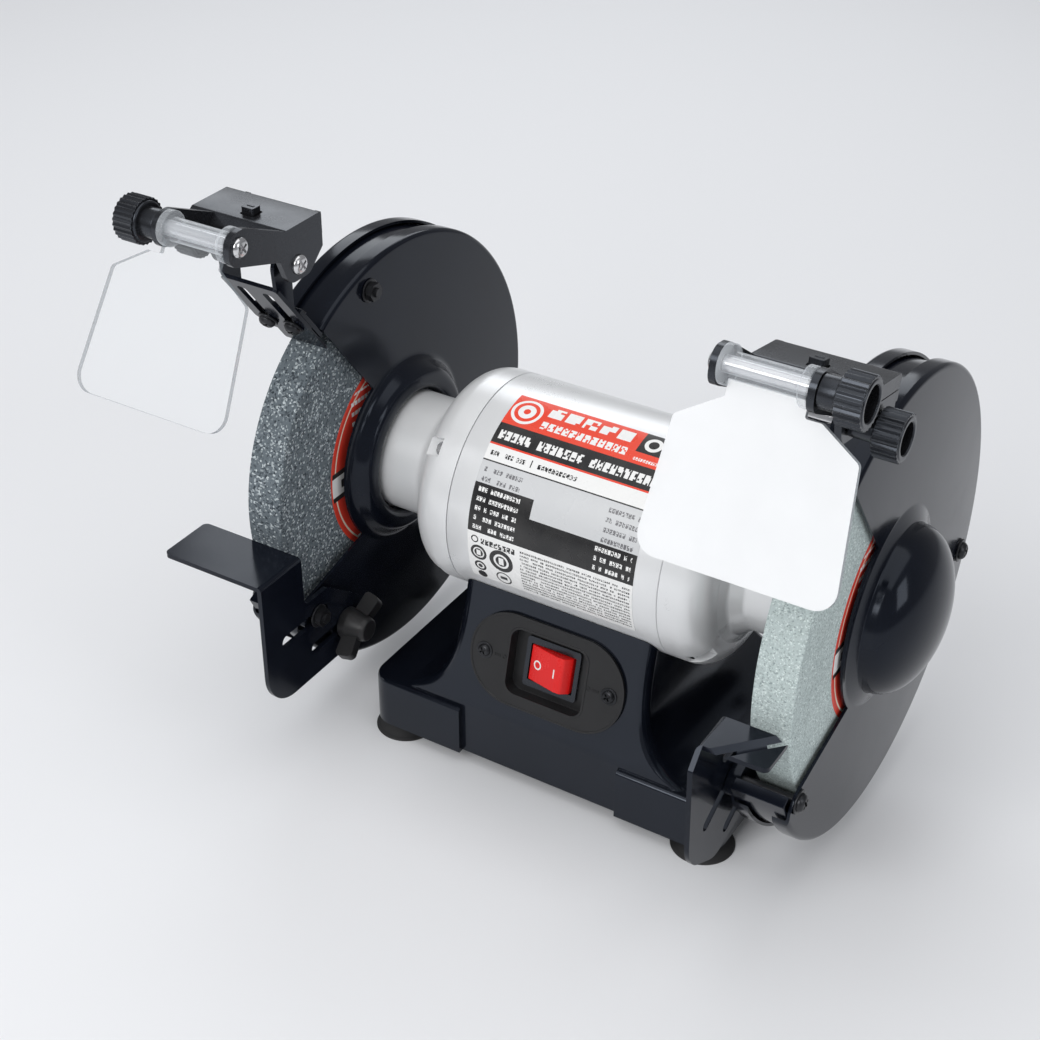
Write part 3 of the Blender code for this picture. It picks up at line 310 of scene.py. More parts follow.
def lofted(rings: Sequence[Sequence[Point]]) -> BMesh:
    """A closed mesh bridged through rings of equal count.

    Args:
        rings: The rings' points, in order.

    Returns:
        The closed mesh.
    """
    work = bmesh.new()
    rows = []
    for ring in rings:
        corners = [work.verts.new(point) for point in ring]
        rows.append([work.edges.new(pair) for pair in zip(corners, corners[1:] + corners[:1])])
    for low, high in zip(rows, rows[1:]):
        bmesh.ops.bridge_loops(work, edges=low + high)
    bmesh.ops.contextual_create(work, geom=rows[0])
    bmesh.ops.contextual_create(work, geom=rows[-1])
    bmesh.ops.recalc_face_normals(work, faces=work.faces[:])
    return work


def together(*works: BMesh) -> BMesh:
    """Several meshes as one, each left whole.

    Args:
        *works: The meshes, which are freed.

    Returns:
        One mesh.
    """
    whole = bmesh.new()
    for work in works:
        mesh = to_mesh("part", work)
        whole.from_mesh(mesh)
        bpy.data.meshes.remove(mesh)
    return whole


def to_mesh(name: str, work: BMesh) -> bpy.types.Mesh:
    """Turn a bmesh into a mesh.

    Args:
        name: The mesh's name.
        work: The bmesh, which is freed.

    Returns:
        The mesh.
    """
    mesh = bpy.data.meshes.new(name)
    work.to_mesh(mesh)
    work.free()
    return mesh


def combined(work: BMesh, steps: Iterable[tuple[str, BMesh]], wall: float = 0.0) -> BMesh:
    """Run exact boolean steps on a mesh.

    Args:
        work: The mesh to start from.
        steps: Operations with their meshes, which are freed.
        wall: Thickness about a turned line, or 0 for a closed mesh.

    Returns:
        The resulting mesh.
    """
    spent = []

    def helper(part: BMesh) -> bpy.types.Object:
        """A short-lived object that holds a mesh."""
        item = bpy.data.objects.new("helper", to_mesh("helper", part))
        bpy.context.scene.collection.objects.link(item)
        spent.append(item)
        return item

    host = helper(work)
    if wall:
        thick = host.modifiers.new("wall", "SOLIDIFY")
        thick.thickness = wall
        thick.offset = 0.0
        thick.use_even_offset = True
    for operation, tool in steps:
        step = host.modifiers.new("step", "BOOLEAN")
        step.operation = operation
        step.object = helper(tool)
        step.solver = "EXACT"
    bpy.context.view_layer.update()
    mesh = bpy.data.meshes.new_from_object(host.evaluated_get(bpy.context.evaluated_depsgraph_get()))
    result = bmesh.new()
    result.from_mesh(mesh)
    for data in [mesh] + [item.data for item in spent]:
        bpy.data.meshes.remove(data)
    return result


def carved(work: BMesh, cut: Iterable[BMesh] = (), add: Iterable[BMesh] = (), wall: float = 0.0) -> BMesh:
    """A mesh with others joined to it, then cut from it, and cleaned.

    Args:
        work: The mesh to start from.
        cut: Meshes that are taken away, after the joining.
        add: Meshes that are joined.
        wall: Thickness about a turned line, or 0 for a closed mesh.

    Returns:
        The finished mesh.
    """
    steps = [("UNION", tool) for tool in add] + [("DIFFERENCE", tool) for tool in cut]
    result = combined(work, steps, wall)
    bmesh.ops.remove_doubles(result, verts=result.verts[:], dist=WELD)
    bmesh.ops.dissolve_degenerate(result, dist=2 * WELD, edges=result.edges[:])
    bmesh.ops.dissolve_limit(result, angle_limit=FLAT, verts=result.verts[:], edges=result.edges[:])
    return result


# ---- materials ---------------------------------------------------------------------
class Tree:
    """One material's nodes, with short ways to add them."""

    def __init__(self, name: str) -> None:
        """Start a material with its Principled shader.

        Args:
            name: The material's name.
        """
        self.material = bpy.data.materials.new(name)
        self.material.use_nodes = True
        self.nodes = self.material.node_tree.nodes
        self.links = self.material.node_tree.links
        self.shader = self.nodes["Principled BSDF"]

    def add(self, kind: str, inputs: dict, **settings: object) -> bpy.types.Node:
        """Add a node.

        Args:
            kind: Its type, without the ShaderNode prefix.
            inputs: Values or sockets for its inputs, by name or index.
            **settings: The node's own properties.

        Returns:
            The node.
        """
        node = self.nodes.new("ShaderNode" + kind)
        for key, value in settings.items():
            setattr(node, key, value)
        for key, value in inputs.items():
            if isinstance(value, bpy.types.NodeSocket):
                self.links.new(value, node.inputs[key])
            else:
                node.inputs[key].default_value = value
        return node

    def place(self, stretch: Point = (1.0, 1.0, 1.0)) -> bpy.types.NodeSocket:
        """Object coordinates, stretched along the axes."""
        source = self.add("TexCoord", {}).outputs["Object"]
        return self.add("Mapping", {"Vector": source, "Scale": stretch}).outputs["Vector"]

    def flat(self) -> bpy.types.NodeSocket:
        """The piece's own UV map, in millimetres."""
        return self.add("UVMap", {}, uv_map="print").outputs["UV"]

    def noise(self, where: bpy.types.NodeSocket, scale: float, detail: float = 4.0) -> bpy.types.NodeSocket:
        """Cloudy values from 0 to 1 at a scale per metre."""
        return self.add("TexNoise", {"Vector": where, "Scale": scale, "Detail": detail}).outputs["Fac"]

    def ranged(self, value: bpy.types.NodeSocket, source: Point, target: Point) -> bpy.types.NodeSocket:
        """A value mapped from one range to another, held inside it."""
        inputs = {"Value": value, "From Min": source[0], "From Max": source[1],
                  "To Min": target[0], "To Max": target[1]}
        return self.add("MapRange", inputs, clamp=True).outputs["Result"]

    def math(self, operation: str, one: object, two: object = 0.0) -> bpy.types.NodeSocket:
        """One arithmetic step."""
        return self.add("Math", {0: one, 1: two}, operation=operation).outputs[0]

    def mixed(self, share: object, one: object, two: object) -> bpy.types.NodeSocket:
        """Two colours mixed by a share."""
        return self.add("Mix", {0: share, 6: one, 7: two}, data_type="RGBA").outputs[2]

    def feed(self, name: str, value: object) -> None:
        """Link a socket to the shader, or set the shader's own value."""
        if isinstance(value, bpy.types.NodeSocket):
            self.links.new(value, self.shader.inputs[name])
        else:
            self.shader.inputs[name].default_value = value

    def relief(self, height: bpy.types.NodeSocket, strength: float, depth: float) -> None:
        """Give the shader a bump.

        Args:
            height: The relief, from 0 to 1.
            strength: How much of it shows.
            depth: Its depth in metres.
        """
        bump = self.add("Bump", {"Height": height, "Strength": strength, "Distance": depth})
        self.feed("Normal", bump.outputs["Normal"])


def tint(colour: Point, alpha: float = 1.0) -> tuple[float, float, float, float]:
    """A colour with its alpha."""
    return (colour[0], colour[1], colour[2], alpha)


@dataclass(frozen=True)
class Finish:
    """Paint, plastic, rubber or metal: cloudy colour, uneven gloss and a fine grain."""

    name: str
    slot: str
    colour: Point
    second: Point
    gloss: tuple[float, float] = (0.3, 0.4)
    metallic: float = 0.0
    grain: float = 900.0
    relief: float = 0.00002
    strength: float = 0.3
    stretch: Point = (1.0, 1.0, 1.0)
    specular: float = 0.5
    flecks: float = 0.0
    shine: Point = (1.0, 1.0, 1.0)

    def make(self) -> bpy.types.Material:
        """Build the material."""
        tree = Tree(self.name)
        where = tree.place(self.stretch)
        cloud = tree.noise(where, 38.0, 5.0)
        fine = tree.noise(where, self.grain, 3.0)
        share = tree.ranged(cloud, (0.32, 0.68), (0.0, 1.0))
        colour = tree.mixed(share, tint(self.colour), tint(self.second))
        if self.flecks:
            dots = tree.add("TexVoronoi", {"Vector": where, "Scale": self.grain * 0.4})
            mask = tree.ranged(dots.outputs["Distance"], (0.05, 0.16), (self.flecks, 0.0))
            colour = tree.mixed(mask, colour, tint([min(1.0, part + 0.22) for part in self.second]))
        tree.feed("Base Color", colour)
        rough = tree.math("ADD", tree.math("MULTIPLY", cloud, 0.75), tree.math("MULTIPLY", fine, 0.25))
        tree.feed("Roughness", tree.ranged(rough, (0.3, 0.7), self.gloss))
        tree.feed("Metallic", self.metallic)
        tree.feed("Specular IOR Level", self.specular)
        tree.feed("Specular Tint", tint(self.shine))
        tree.relief(fine, self.strength, self.relief)
        return tree.material


@dataclass(frozen=True)
class Stone:
    """Bonded abrasive: packed grains of several greys with a pitted surface."""

    name: str
    slot: str
    dark: Point
    middle: Point
    light: Point
    grain: float

    def make(self) -> bpy.types.Material:
        """Build the material."""
        tree = Tree(self.name)
        where = tree.place()
        cells = tree.add("TexVoronoi", {"Vector": where, "Scale": 1.0 / self.grain})
        tone = tree.add("SeparateColor", {"Color": cells.outputs["Color"]}).outputs[0]
        ramp = tree.add("ValToRGB", {"Fac": tone})
        stops = ramp.color_ramp.elements
        stops[0].color = tint(self.dark)
        stops[1].color = tint(self.light)
        for position, colour in ((0.28, self.middle), (0.78, self.middle)):
            stops.new(position).color = tint(colour)
        dust = tree.noise(where, 0.35 / self.grain, 3.0)
        broad = tree.noise(where, 45.0, 3.0)
        dusted = tree.mixed(tree.ranged(dust, (0.45, 0.75), (0.0, 0.25)), ramp.outputs["Color"],
                            tint(self.middle))
        colour = tree.mixed(tree.ranged(broad, (0.3, 0.7), (0.0, 0.22)), dusted, tint(self.dark))
        tree.feed("Base Color", colour)
        tree.feed("Roughness", tree.ranged(dust, (0.3, 0.7), (0.82, 1.0)))
        tree.feed("Specular IOR Level", 0.25)
        height = tree.math("SUBTRACT", tone, tree.math("MULTIPLY", cells.outputs["Distance"], 0.8))
        tree.relief(height, 0.55, self.grain * 0.35)
        return tree.material


@dataclass(frozen=True)
class Clear:
    """Clear or filmed sheet plastic, brighter where it is seen along the surface."""

    name: str
    slot: str
    colour: Point
    cover: tuple[float, float]
    gloss: float = 0.06

    def make(self) -> bpy.types.Material:
        """Build the material."""
        tree = Tree(self.name)
        where = tree.place()
        cloud = tree.noise(where, 60.0, 4.0)
        scuffs = tree.noise(tree.place((1.0, 0.08, 1.0)), 1400.0, 2.0)
        tree.feed("Base Color", tree.mixed(tree.ranged(cloud, (0.3, 0.7), (0.0, 0.25)), tint(self.colour),
                                           tint([part * 0.92 for part in self.colour])))
        edge = tree.add("LayerWeight", {"Blend": 0.35}).outputs["Facing"]
        tree.feed("Alpha", tree.ranged(edge, (0.35, 1.0), self.cover))
        tree.feed("Roughness", tree.ranged(scuffs, (0.4, 0.75), (self.gloss, self.gloss + 0.08)))
        tree.feed("IOR", 1.49)
        tree.relief(cloud, 0.08, 0.0002)
        return tree.material


@dataclass(frozen=True)
class Mark:
    """A printed area in millimetres: a box, or a ring when it has a radius.

    Rows fill it with broken blocks that stand for small print without being any. Each
    block is a letter wide, with a gap after it, and worn through by smaller cells.
    """

    colour: Point
    box: Point = (0.0, 0.0, 0.0, 0.0)
    centre: Point = (0.0, 0.0)
    outer: float = 0.0
    inner: float = 0.0
    rows: float = 0.0
    fill: float = 0.5
    word: float = 3.0
    cover: float = 0.75
    worn: float = 0.0


@dataclass(frozen=True)
class Print:
    """Ink marks on a coloured ground, drawn on the piece's own UV map."""

    name: str
    slot: str
    ground: Point
    marks: tuple[Mark, ...]
    gloss: tuple[float, float] = (0.22, 0.34)

    def mask(self, tree: Tree, x: bpy.types.NodeSocket, y: bpy.types.NodeSocket,
             mark: Mark) -> bpy.types.NodeSocket:
        """Where a mark is, from 0 to 1.

        Args:
            tree: The material's nodes.
            x: Distance along the print in millimetres.
            y: Distance up the print in millimetres.
            mark: The mark.

        Returns:
            The socket of the mask.
        """
        if mark.outer:
            dx = tree.math("SUBTRACT", x, mark.centre[0])
            dy = tree.math("SUBTRACT", y, mark.centre[1])
            squares = tree.math("ADD", tree.math("MULTIPLY", dx, dx), tree.math("MULTIPLY", dy, dy))
            away = tree.math("SQRT", squares)
            inside = tree.math("LESS_THAN", away, mark.outer)
            return tree.math("MULTIPLY", inside, tree.math("GREATER_THAN", away, mark.inner))
        left, right, low, high = mark.box
        wide = tree.math("MULTIPLY", tree.math("GREATER_THAN", x, left), tree.math("LESS_THAN", x, right))
        tall = tree.math("MULTIPLY", tree.math("GREATER_THAN", y, low), tree.math("LESS_THAN", y, high))
        area = tree.math("MULTIPLY", wide, tall)
        if not mark.rows:
            return area
        count = tree.math("DIVIDE", tree.math("SUBTRACT", y, low), mark.rows)
        row = tree.math("FLOOR", count)
        inked = tree.math("LESS_THAN", tree.math("FRACT", count), mark.fill)
        across_word = tree.math("DIVIDE", tree.math("SUBTRACT", x, left), mark.word)
        word = tree.math("FLOOR", across_word)
        spot = tree.add("CombineXYZ", {0: word, 1: row, 2: left})
        chance = tree.add("TexWhiteNoise", {"Vector": spot.outputs[0]}, noise_dimensions="3D")
        kept = tree.math("LESS_THAN", chance.outputs["Value"], mark.cover)
        kept = tree.math("MULTIPLY", kept, tree.math("LESS_THAN", tree.math("FRACT", across_word), 0.80))
        if mark.worn:
            column = tree.math("FLOOR", tree.math("MULTIPLY", across_word, 3.75))
            level = tree.math("FLOOR", tree.math("MULTIPLY", count, 5.0 / mark.fill))
            cell = tree.add("CombineXYZ", {0: column, 1: level, 2: low})
            hole = tree.add("TexWhiteNoise", {"Vector": cell.outputs[0]}, noise_dimensions="3D")
            kept = tree.math("MULTIPLY", kept, tree.math("GREATER_THAN", hole.outputs["Value"], mark.worn))
        return tree.math("MULTIPLY", area, tree.math("MULTIPLY", inked, kept))

    def make(self) -> bpy.types.Material:
        """Build the material."""
        tree = Tree(self.name)
        split = tree.add("SeparateXYZ", {0: tree.flat()})
        x, y = split.outputs[0], split.outputs[1]
        where = tree.place()
        cloud = tree.noise(where, 70.0, 4.0)
        fibre = tree.noise(where, 1600.0, 2.0)
        colour: object = tint(self.ground)
        for mark in self.marks:
            colour = tree.mixed(self.mask(tree, x, y, mark), colour, tint(mark.colour))
        aged = tree.mixed(tree.ranged(cloud, (0.35, 0.75), (0.0, 0.06)), colour, tint((0.35, 0.34, 0.32)))
        tree.feed("Base Color", aged)
        tree.feed("Roughness", tree.ranged(cloud, (0.3, 0.7), self.gloss))
        tree.relief(fibre, 0.12, 0.00003)
        return tree.material


# ---- finishes ----------------------------------------------------------------------
COOL = (0.78, 0.86, 1.0)
GLOSS_BLACK = Finish("gloss_black_paint", "black_paint", (0.0040, 0.0050, 0.0088), (0.0062, 0.0078, 0.0130),
                     (0.10, 0.20), grain=1100.0, relief=0.000008, strength=0.18, specular=0.27,
                     shine=COOL)
CAST_BLACK = Finish("cast_base_black_paint", "black_paint", (0.0036, 0.0046, 0.0078),
                    (0.0054, 0.0068, 0.0112),
                    (0.10, 0.19), grain=420.0, relief=0.00003, strength=0.22, specular=0.44,
                    shine=COOL)
DARK_STEEL = Finish("blackened_fastener_steel", "black_steel", (0.020, 0.021, 0.024), (0.045, 0.046, 0.050),
                    (0.28, 0.42), 0.75, grain=1500.0, relief=0.00001)
SILVER = Finish("satin_silver_paint", "silver_paint", (0.755, 0.764, 0.772), (0.785, 0.793, 0.800),
                (0.27, 0.31), 0.24, grain=2600.0, relief=0.000012, strength=0.35, flecks=0.12)
BRIGHT_STEEL = Finish("turned_bright_steel", "steel", (0.62, 0.62, 0.63), (0.72, 0.72, 0.73), (0.14, 0.26),
                      1.0,
                      grain=1800.0, relief=0.00001, stretch=(1.0, 0.15, 1.0))
GREY_STEEL = Finish("machined_grey_steel", "steel", (0.33, 0.33, 0.34), (0.45, 0.45, 0.46), (0.28, 0.42), 0.9,
                    grain=900.0, relief=0.00002)
RUBBER = Finish("moulded_foot_rubber", "rubber", (0.012, 0.012, 0.013), (0.024, 0.024, 0.025), (0.62, 0.8),
                grain=700.0, relief=0.00006, strength=0.4)
GRAINED_BLACK = Finish("grained_black_plastic", "black_plastic", (0.0085, 0.0085, 0.0095),
                       (0.014, 0.014, 0.015),
                       (0.36, 0.50), grain=1500.0, relief=0.00007, strength=0.5, specular=0.40)
SATIN_BLACK = Finish("satin_black_plastic", "black_plastic", (0.0065, 0.0065, 0.0075), (0.011, 0.011, 0.012),
                     (0.20, 0.33), grain=1900.0, relief=0.00002, strength=0.30, specular=0.60,
                     shine=COOL)
RED = Finish("gloss_red_plastic", "red_plastic", (0.70, 0.008, 0.008), (0.78, 0.014, 0.012), (0.22, 0.32),
             grain=900.0, relief=0.00001, specular=0.35)
WHITE_INLAY = Finish("white_moulded_inlay", "red_plastic", (0.80, 0.80, 0.78), (0.88, 0.88, 0.86),
                     (0.3, 0.42),
                     grain=900.0, relief=0.00001)
COARSE = Stone("coarse_blue_grey_stone", "coarse_stone", (0.030, 0.038, 0.047), (0.150, 0.178, 0.198),
               (0.640, 0.700, 0.720), 0.00092)
FINE = Stone("fine_pale_green_grey_stone", "fine_stone", (0.270, 0.325, 0.325), (0.520, 0.600, 0.590),
             (0.800, 0.880, 0.860), 0.00062)
CLEAR_SHEET = Clear("clear_polycarbonate", "clear_plastic", (0.88, 0.92, 0.95), (0.07, 0.75))
# Cut edges of the eye shield panes: a darker grey-blue that is painted shade, standing in for the dark lines
# a clear sheet's edges show where they bend light.
PAINTED_SHADE_EDGE = Clear("polished_sheet_edge", "clear_plastic", (0.30, 0.34, 0.37), (0.55, 0.90))
CLEAR_TUBE = Clear("clear_moulded_tube", "clear_plastic", (0.86, 0.90, 0.94), (0.22, 0.85))
FILMED_SHEET = Clear("film_covered_polycarbonate", "clear_plastic", (0.93, 0.94, 0.95), (0.86, 0.96), 0.16)
LENS = Clear("lamp_lens", "clear_plastic", (0.90, 0.92, 0.94), (0.45, 0.9))

BLACK_INK = (0.010, 0.010, 0.011)
WHITE_INK = (0.86, 0.86, 0.85)
RED_INK = (0.80, 0.055, 0.022)
CREAM_INK = (0.80, 0.74, 0.60)
FOIL = (0.60, 0.61, 0.62)
GREY_INK = (0.16, 0.16, 0.17)

MOTOR_MARKS = (
    Mark(RED_INK, (-50, 50, 63.5, 90)),
    Mark(WHITE_INK, centre=(-37.0, 73.8), outer=8.2, inner=6.6),
    Mark(WHITE_INK, centre=(-37.0, 73.8), outer=4.6, inner=1.8),
    Mark(WHITE_INK, (-26.0, 22, 74.6, 81.6), rows=8.0, fill=0.86, word=9.6, cover=1.1, worn=0.16),
    Mark(WHITE_INK, (-26.0, 22, 66.4, 71.2), rows=7.0, fill=0.66, word=4.0, cover=1.1, worn=0.18),
    Mark(BLACK_INK, (25, 47.5, 70.5, 90)),
    Mark(WHITE_INK, centre=(31.8, 77.0), outer=4.6, inner=2.6),
    Mark(WHITE_INK, (38.5, 44.5, 77.6, 82.6), rows=6.0, fill=0.8, word=2.2, cover=1.1),
    Mark(WHITE_INK, (26, 46, 65.4, 68.4), rows=3.0, fill=0.6, word=1.35, cover=0.85, worn=0.3),
    Mark(BLACK_INK, (-50, 50, 51.5, 63.5)),
    Mark(WHITE_INK, (-43.6, 44, 54.6, 60.4), rows=7.0, fill=0.72, word=3.65, cover=0.90, worn=0.20),
    Mark(RED_INK, (-50, 50, 51.0, 52.0)),
    Mark(WHITE_INK, (-50, 50, 43.0, 51.0)),
    Mark(BLACK_INK, (-43.5, -24, 45.6, 48.6), rows=3.4, fill=0.70, word=1.62, cover=0.92, worn=0.25),
    Mark(BLACK_INK, (-21.0, -20.4, 45.2, 49.0)),
    Mark(BLACK_INK, (-17, 5, 45.6, 48.6), rows=3.4, fill=0.70, word=2.0, cover=1.1, worn=0.25),
    Mark(BLACK_INK, (-50, 50, 42.3, 43.0)),
    Mark(BLACK_INK, (-50, -13, 5.5, 42.3)),
    Mark(FOIL, (-50, -13, 31.0, 42.3)),
    Mark(GREY_INK, (-43.5, -22, 32.0, 41.4), rows=4.9, fill=0.48, word=1.75, cover=0.86, worn=0.24),
    Mark(WHITE_INK, (-43.5, -20, 7.2, 30.6), rows=4.9, fill=0.48, word=1.75, cover=0.86, worn=0.24),
    Mark(GREY_INK, (26, 44, 22.0, 41.4), rows=4.9, fill=0.48, word=1.75, cover=0.74, worn=0.24),
    Mark(BLACK_INK, (-13, 50, 5.5, 21.2)),
    Mark(WHITE_INK, (24, 44, 7.2, 20.8), rows=4.9, fill=0.48, word=1.75, cover=0.8, worn=0.24),
    Mark(WHITE_INK, (-50, 50, -30, 5.5)),
    Mark(BLACK_INK, (-38.5, -19, -0.4, 3.6), rows=5.0, fill=0.62, word=2.5, cover=1.1, worn=0.2),
    Mark(BLACK_INK, centre=(-42.0, 1.4), outer=2.1, inner=1.4),
    Mark(BLACK_INK, (-16, 45, -22.6, 3.6), rows=2.05, fill=0.55, word=1.05, cover=0.90, worn=0.30),
    Mark(BLACK_INK, centre=(-40.0, -6.4), outer=4.6),
    Mark(WHITE_INK, centre=(-40.0, -6.4), outer=3.2, inner=2.5),
    Mark(WHITE_INK, (-41.2, -38.8, -8.0, -4.8)),
    Mark(BLACK_INK, centre=(-27.0, -7.4), outer=6.8),
    Mark(WHITE_INK, centre=(-27.0, -7.4), outer=4.4, inner=3.2),
    Mark(WHITE_INK, (-28.4, -25.6, -9.6, -5.2)),
    Mark(BLACK_INK, centre=(-40.0, -15.4), outer=3.4),
    Mark(WHITE_INK, centre=(-40.0, -15.4), outer=2.2, inner=1.3),
    Mark(BLACK_INK, centre=(-27.0, -19.4), outer=4.4, inner=3.6),
    Mark(BLACK_INK, (-29.0, -25.0, -20.4, -18.2)),
    Mark(BLACK_INK, centre=(-40.0, -22.0), outer=2.6),
)
MOTOR_PRINT = Print("motor_rating_label", "silver_paint", FOIL, MOTOR_MARKS)

WHEEL_MARKS = (
    Mark(CREAM_INK, outer=54.6, inner=53.6),
    Mark(BLACK_INK, (-60, 60, -8.5, 8.5)),
    Mark(WHITE_INK, (-60, 60, -5.6, 5.6)),
    Mark(BLACK_INK, (-52, 52, -2.4, 2.4), rows=5.0, fill=0.95, word=3.1, cover=0.86),
    Mark(WHITE_INK, (-40, 40, 28, 46), rows=5.6, fill=0.42, word=2.9, cover=0.8),
    Mark(WHITE_INK, (-40, 40, -46, -28), rows=5.6, fill=0.42, word=2.9, cover=0.8),
    Mark(CREAM_INK, outer=37.2, inner=36.5),
    Mark(RED_INK, outer=60.0, inner=56.6),
)
WHEEL_PRINT = Print("wheel_paper_label", "coarse_stone", (0.72, 0.040, 0.020), WHEEL_MARKS, (0.45, 0.6))

MATERIALS: dict[str, bpy.types.Material] = {}


def material_of(finish: object) -> bpy.types.Material:
    """The material of a finish, built once."""
    if finish.name not in MATERIALS:
        MATERIALS[finish.name] = finish.make()
    return MATERIALS[finish.name]


def dress(name: str, work: BMesh, finish: object, body: str, nodes: Iterable[str] = (), soft: float = 0.0,
          place: Matrix | None = None, angle: float = 32.0, rounds: int = 2) -> bpy.types.Object:
    """Finish a mesh as a piece: place, edges, shading, material and what it rides on.

    Args:
        name: The piece's name.
        work: Its mesh.
        finish: Its finish.
        body: The frame's body that it rides on.
        nodes: The nodes that it stands for.
        soft: Width of its rounded edges, or 0.
        place: Where the mesh goes, or None if it is in place.
        angle: Edges sharper than this many degrees stay sharp or are rounded.
        rounds: Pieces in each rounded edge.

    Returns:
        The piece.
    """
    if place is not None:
        moved(work, place)
    mesh = to_mesh(name, work)
    mesh.materials.append(material_of(finish))
    item = bpy.data.objects.new(name, mesh)
    bpy.context.scene.collection.objects.link(item)
    mesh.shade_smooth()
    if soft:
        bevel = item.modifiers.new("soft_edges", "BEVEL")
        bevel.width = soft
        bevel.segments = rounds
        bevel.limit_method = "ANGLE"
        bevel.angle_limit = math.radians(angle)
        bevel.harden_normals = True
        bevel.use_clamp_overlap = True
    else:
        mesh.set_sharp_from_angle(angle=math.radians(angle))
    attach(item, body)
    if nodes:
        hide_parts(*nodes)
    LOG.info("%s: %d faces on %s", name, len(mesh.polygons), body)
    return item


def printed(work: BMesh, along: Vector, up: Vector, origin: Vector) -> BMesh:
    """Give a flat mesh a UV map in millimetres along two directions.

    Args:
        work: The mesh, in place.
        along: Direction of the print's lines.
        up: Direction up the print.
        origin: The print's zero.

    Returns:
        The same mesh.
    """
    layer = work.loops.layers.uv.new("print")
    for face in work.faces:
        for loop in face.loops:
            away = loop.vert.co - origin
            loop[layer].uv = (away.dot(along) * 1000, away.dot(up) * 1000)
    return work


def screw_head(radius: float, height: float) -> BMesh:
    """A pan head with a cross recess, standing on local Z = 0.

    Args:
        radius: Of the head.
        height: Its height.

    Returns:
        The head.
    """
    profile = rounded([(0, height, 0), (radius * 0.72, height, radius * 0.5),
                       (radius, height * 0.35, radius * 0.22), (radius, 0, 0), (0, 0, 0)], 4, closed=False)
    arm = (radius * 1.15, radius * 0.26, height * 1.2)
    arms = [moved(block(arm, (0, 0, height)), Matrix.Rotation(turn, 4, "Z"))
            for turn in (0.6, 0.6 + math.pi / 2)]
    return carved(turned(profile, 28), arms)


def washer(bore: float, radius: float, height: float, segments: int, low_edge: float = 0.0002,
           top_edge: float = 0.0003) -> BMesh:
    """A washer with soft edges, standing on local Z = 0.

    Args:
        bore: Radius of its hole.
        radius: Of its rim.
        height: Its height.
        segments: Steps of the full turn.
        low_edge: Rounding of its lower edge.
        top_edge: Rounding of its upper edge.

    Returns:
        The washer.
    """
    profile = [(bore, 0, 0), (radius, 0, low_edge), (radius, height, top_edge), (bore, height, 0)]
    return turned(rounded(profile, 3), segments)


def hexagon_head(radius: float, height: float) -> BMesh:
    """A hexagon bolt head with a turned chamfer, standing on local Z = 0.

    Args:
        radius: To its corners.
        height: Its height.

    Returns:
        The head.
    """
    prism = plate(arc((0, 0), radius, 0.0, math.radians(300), 5), height, low=0.0)
    wide = radius * 1.05
    top = turned([(0, height), (radius * 0.86, height), (wide, height * 0.72), (wide, -0.001), (0, -0.001)],
                 36)
    return combined(prism, [("INTERSECT", top)])


def knurled(radius: float, depth: float, count: int, length: float, bore: float) -> BMesh:
    """A knob's grip with flutes round it and a round hollow, from local Z = 0 up.

    Args:
        radius: Of the grip.
        depth: Of the flutes.
        count: How many flutes there are.
        length: Of the grip.
        bore: Radius of the hollow.

    Returns:
        The grip.
    """
    dips = (0.0, depth / 2, depth, depth / 2)
    steps = count * len(dips)
    rim = [polar(radius - dips[i % len(dips)], 2 * math.pi * i / steps) for i in range(steps)]
    return plate(rim, length, [circle(bore, steps=28)], low=0.0)


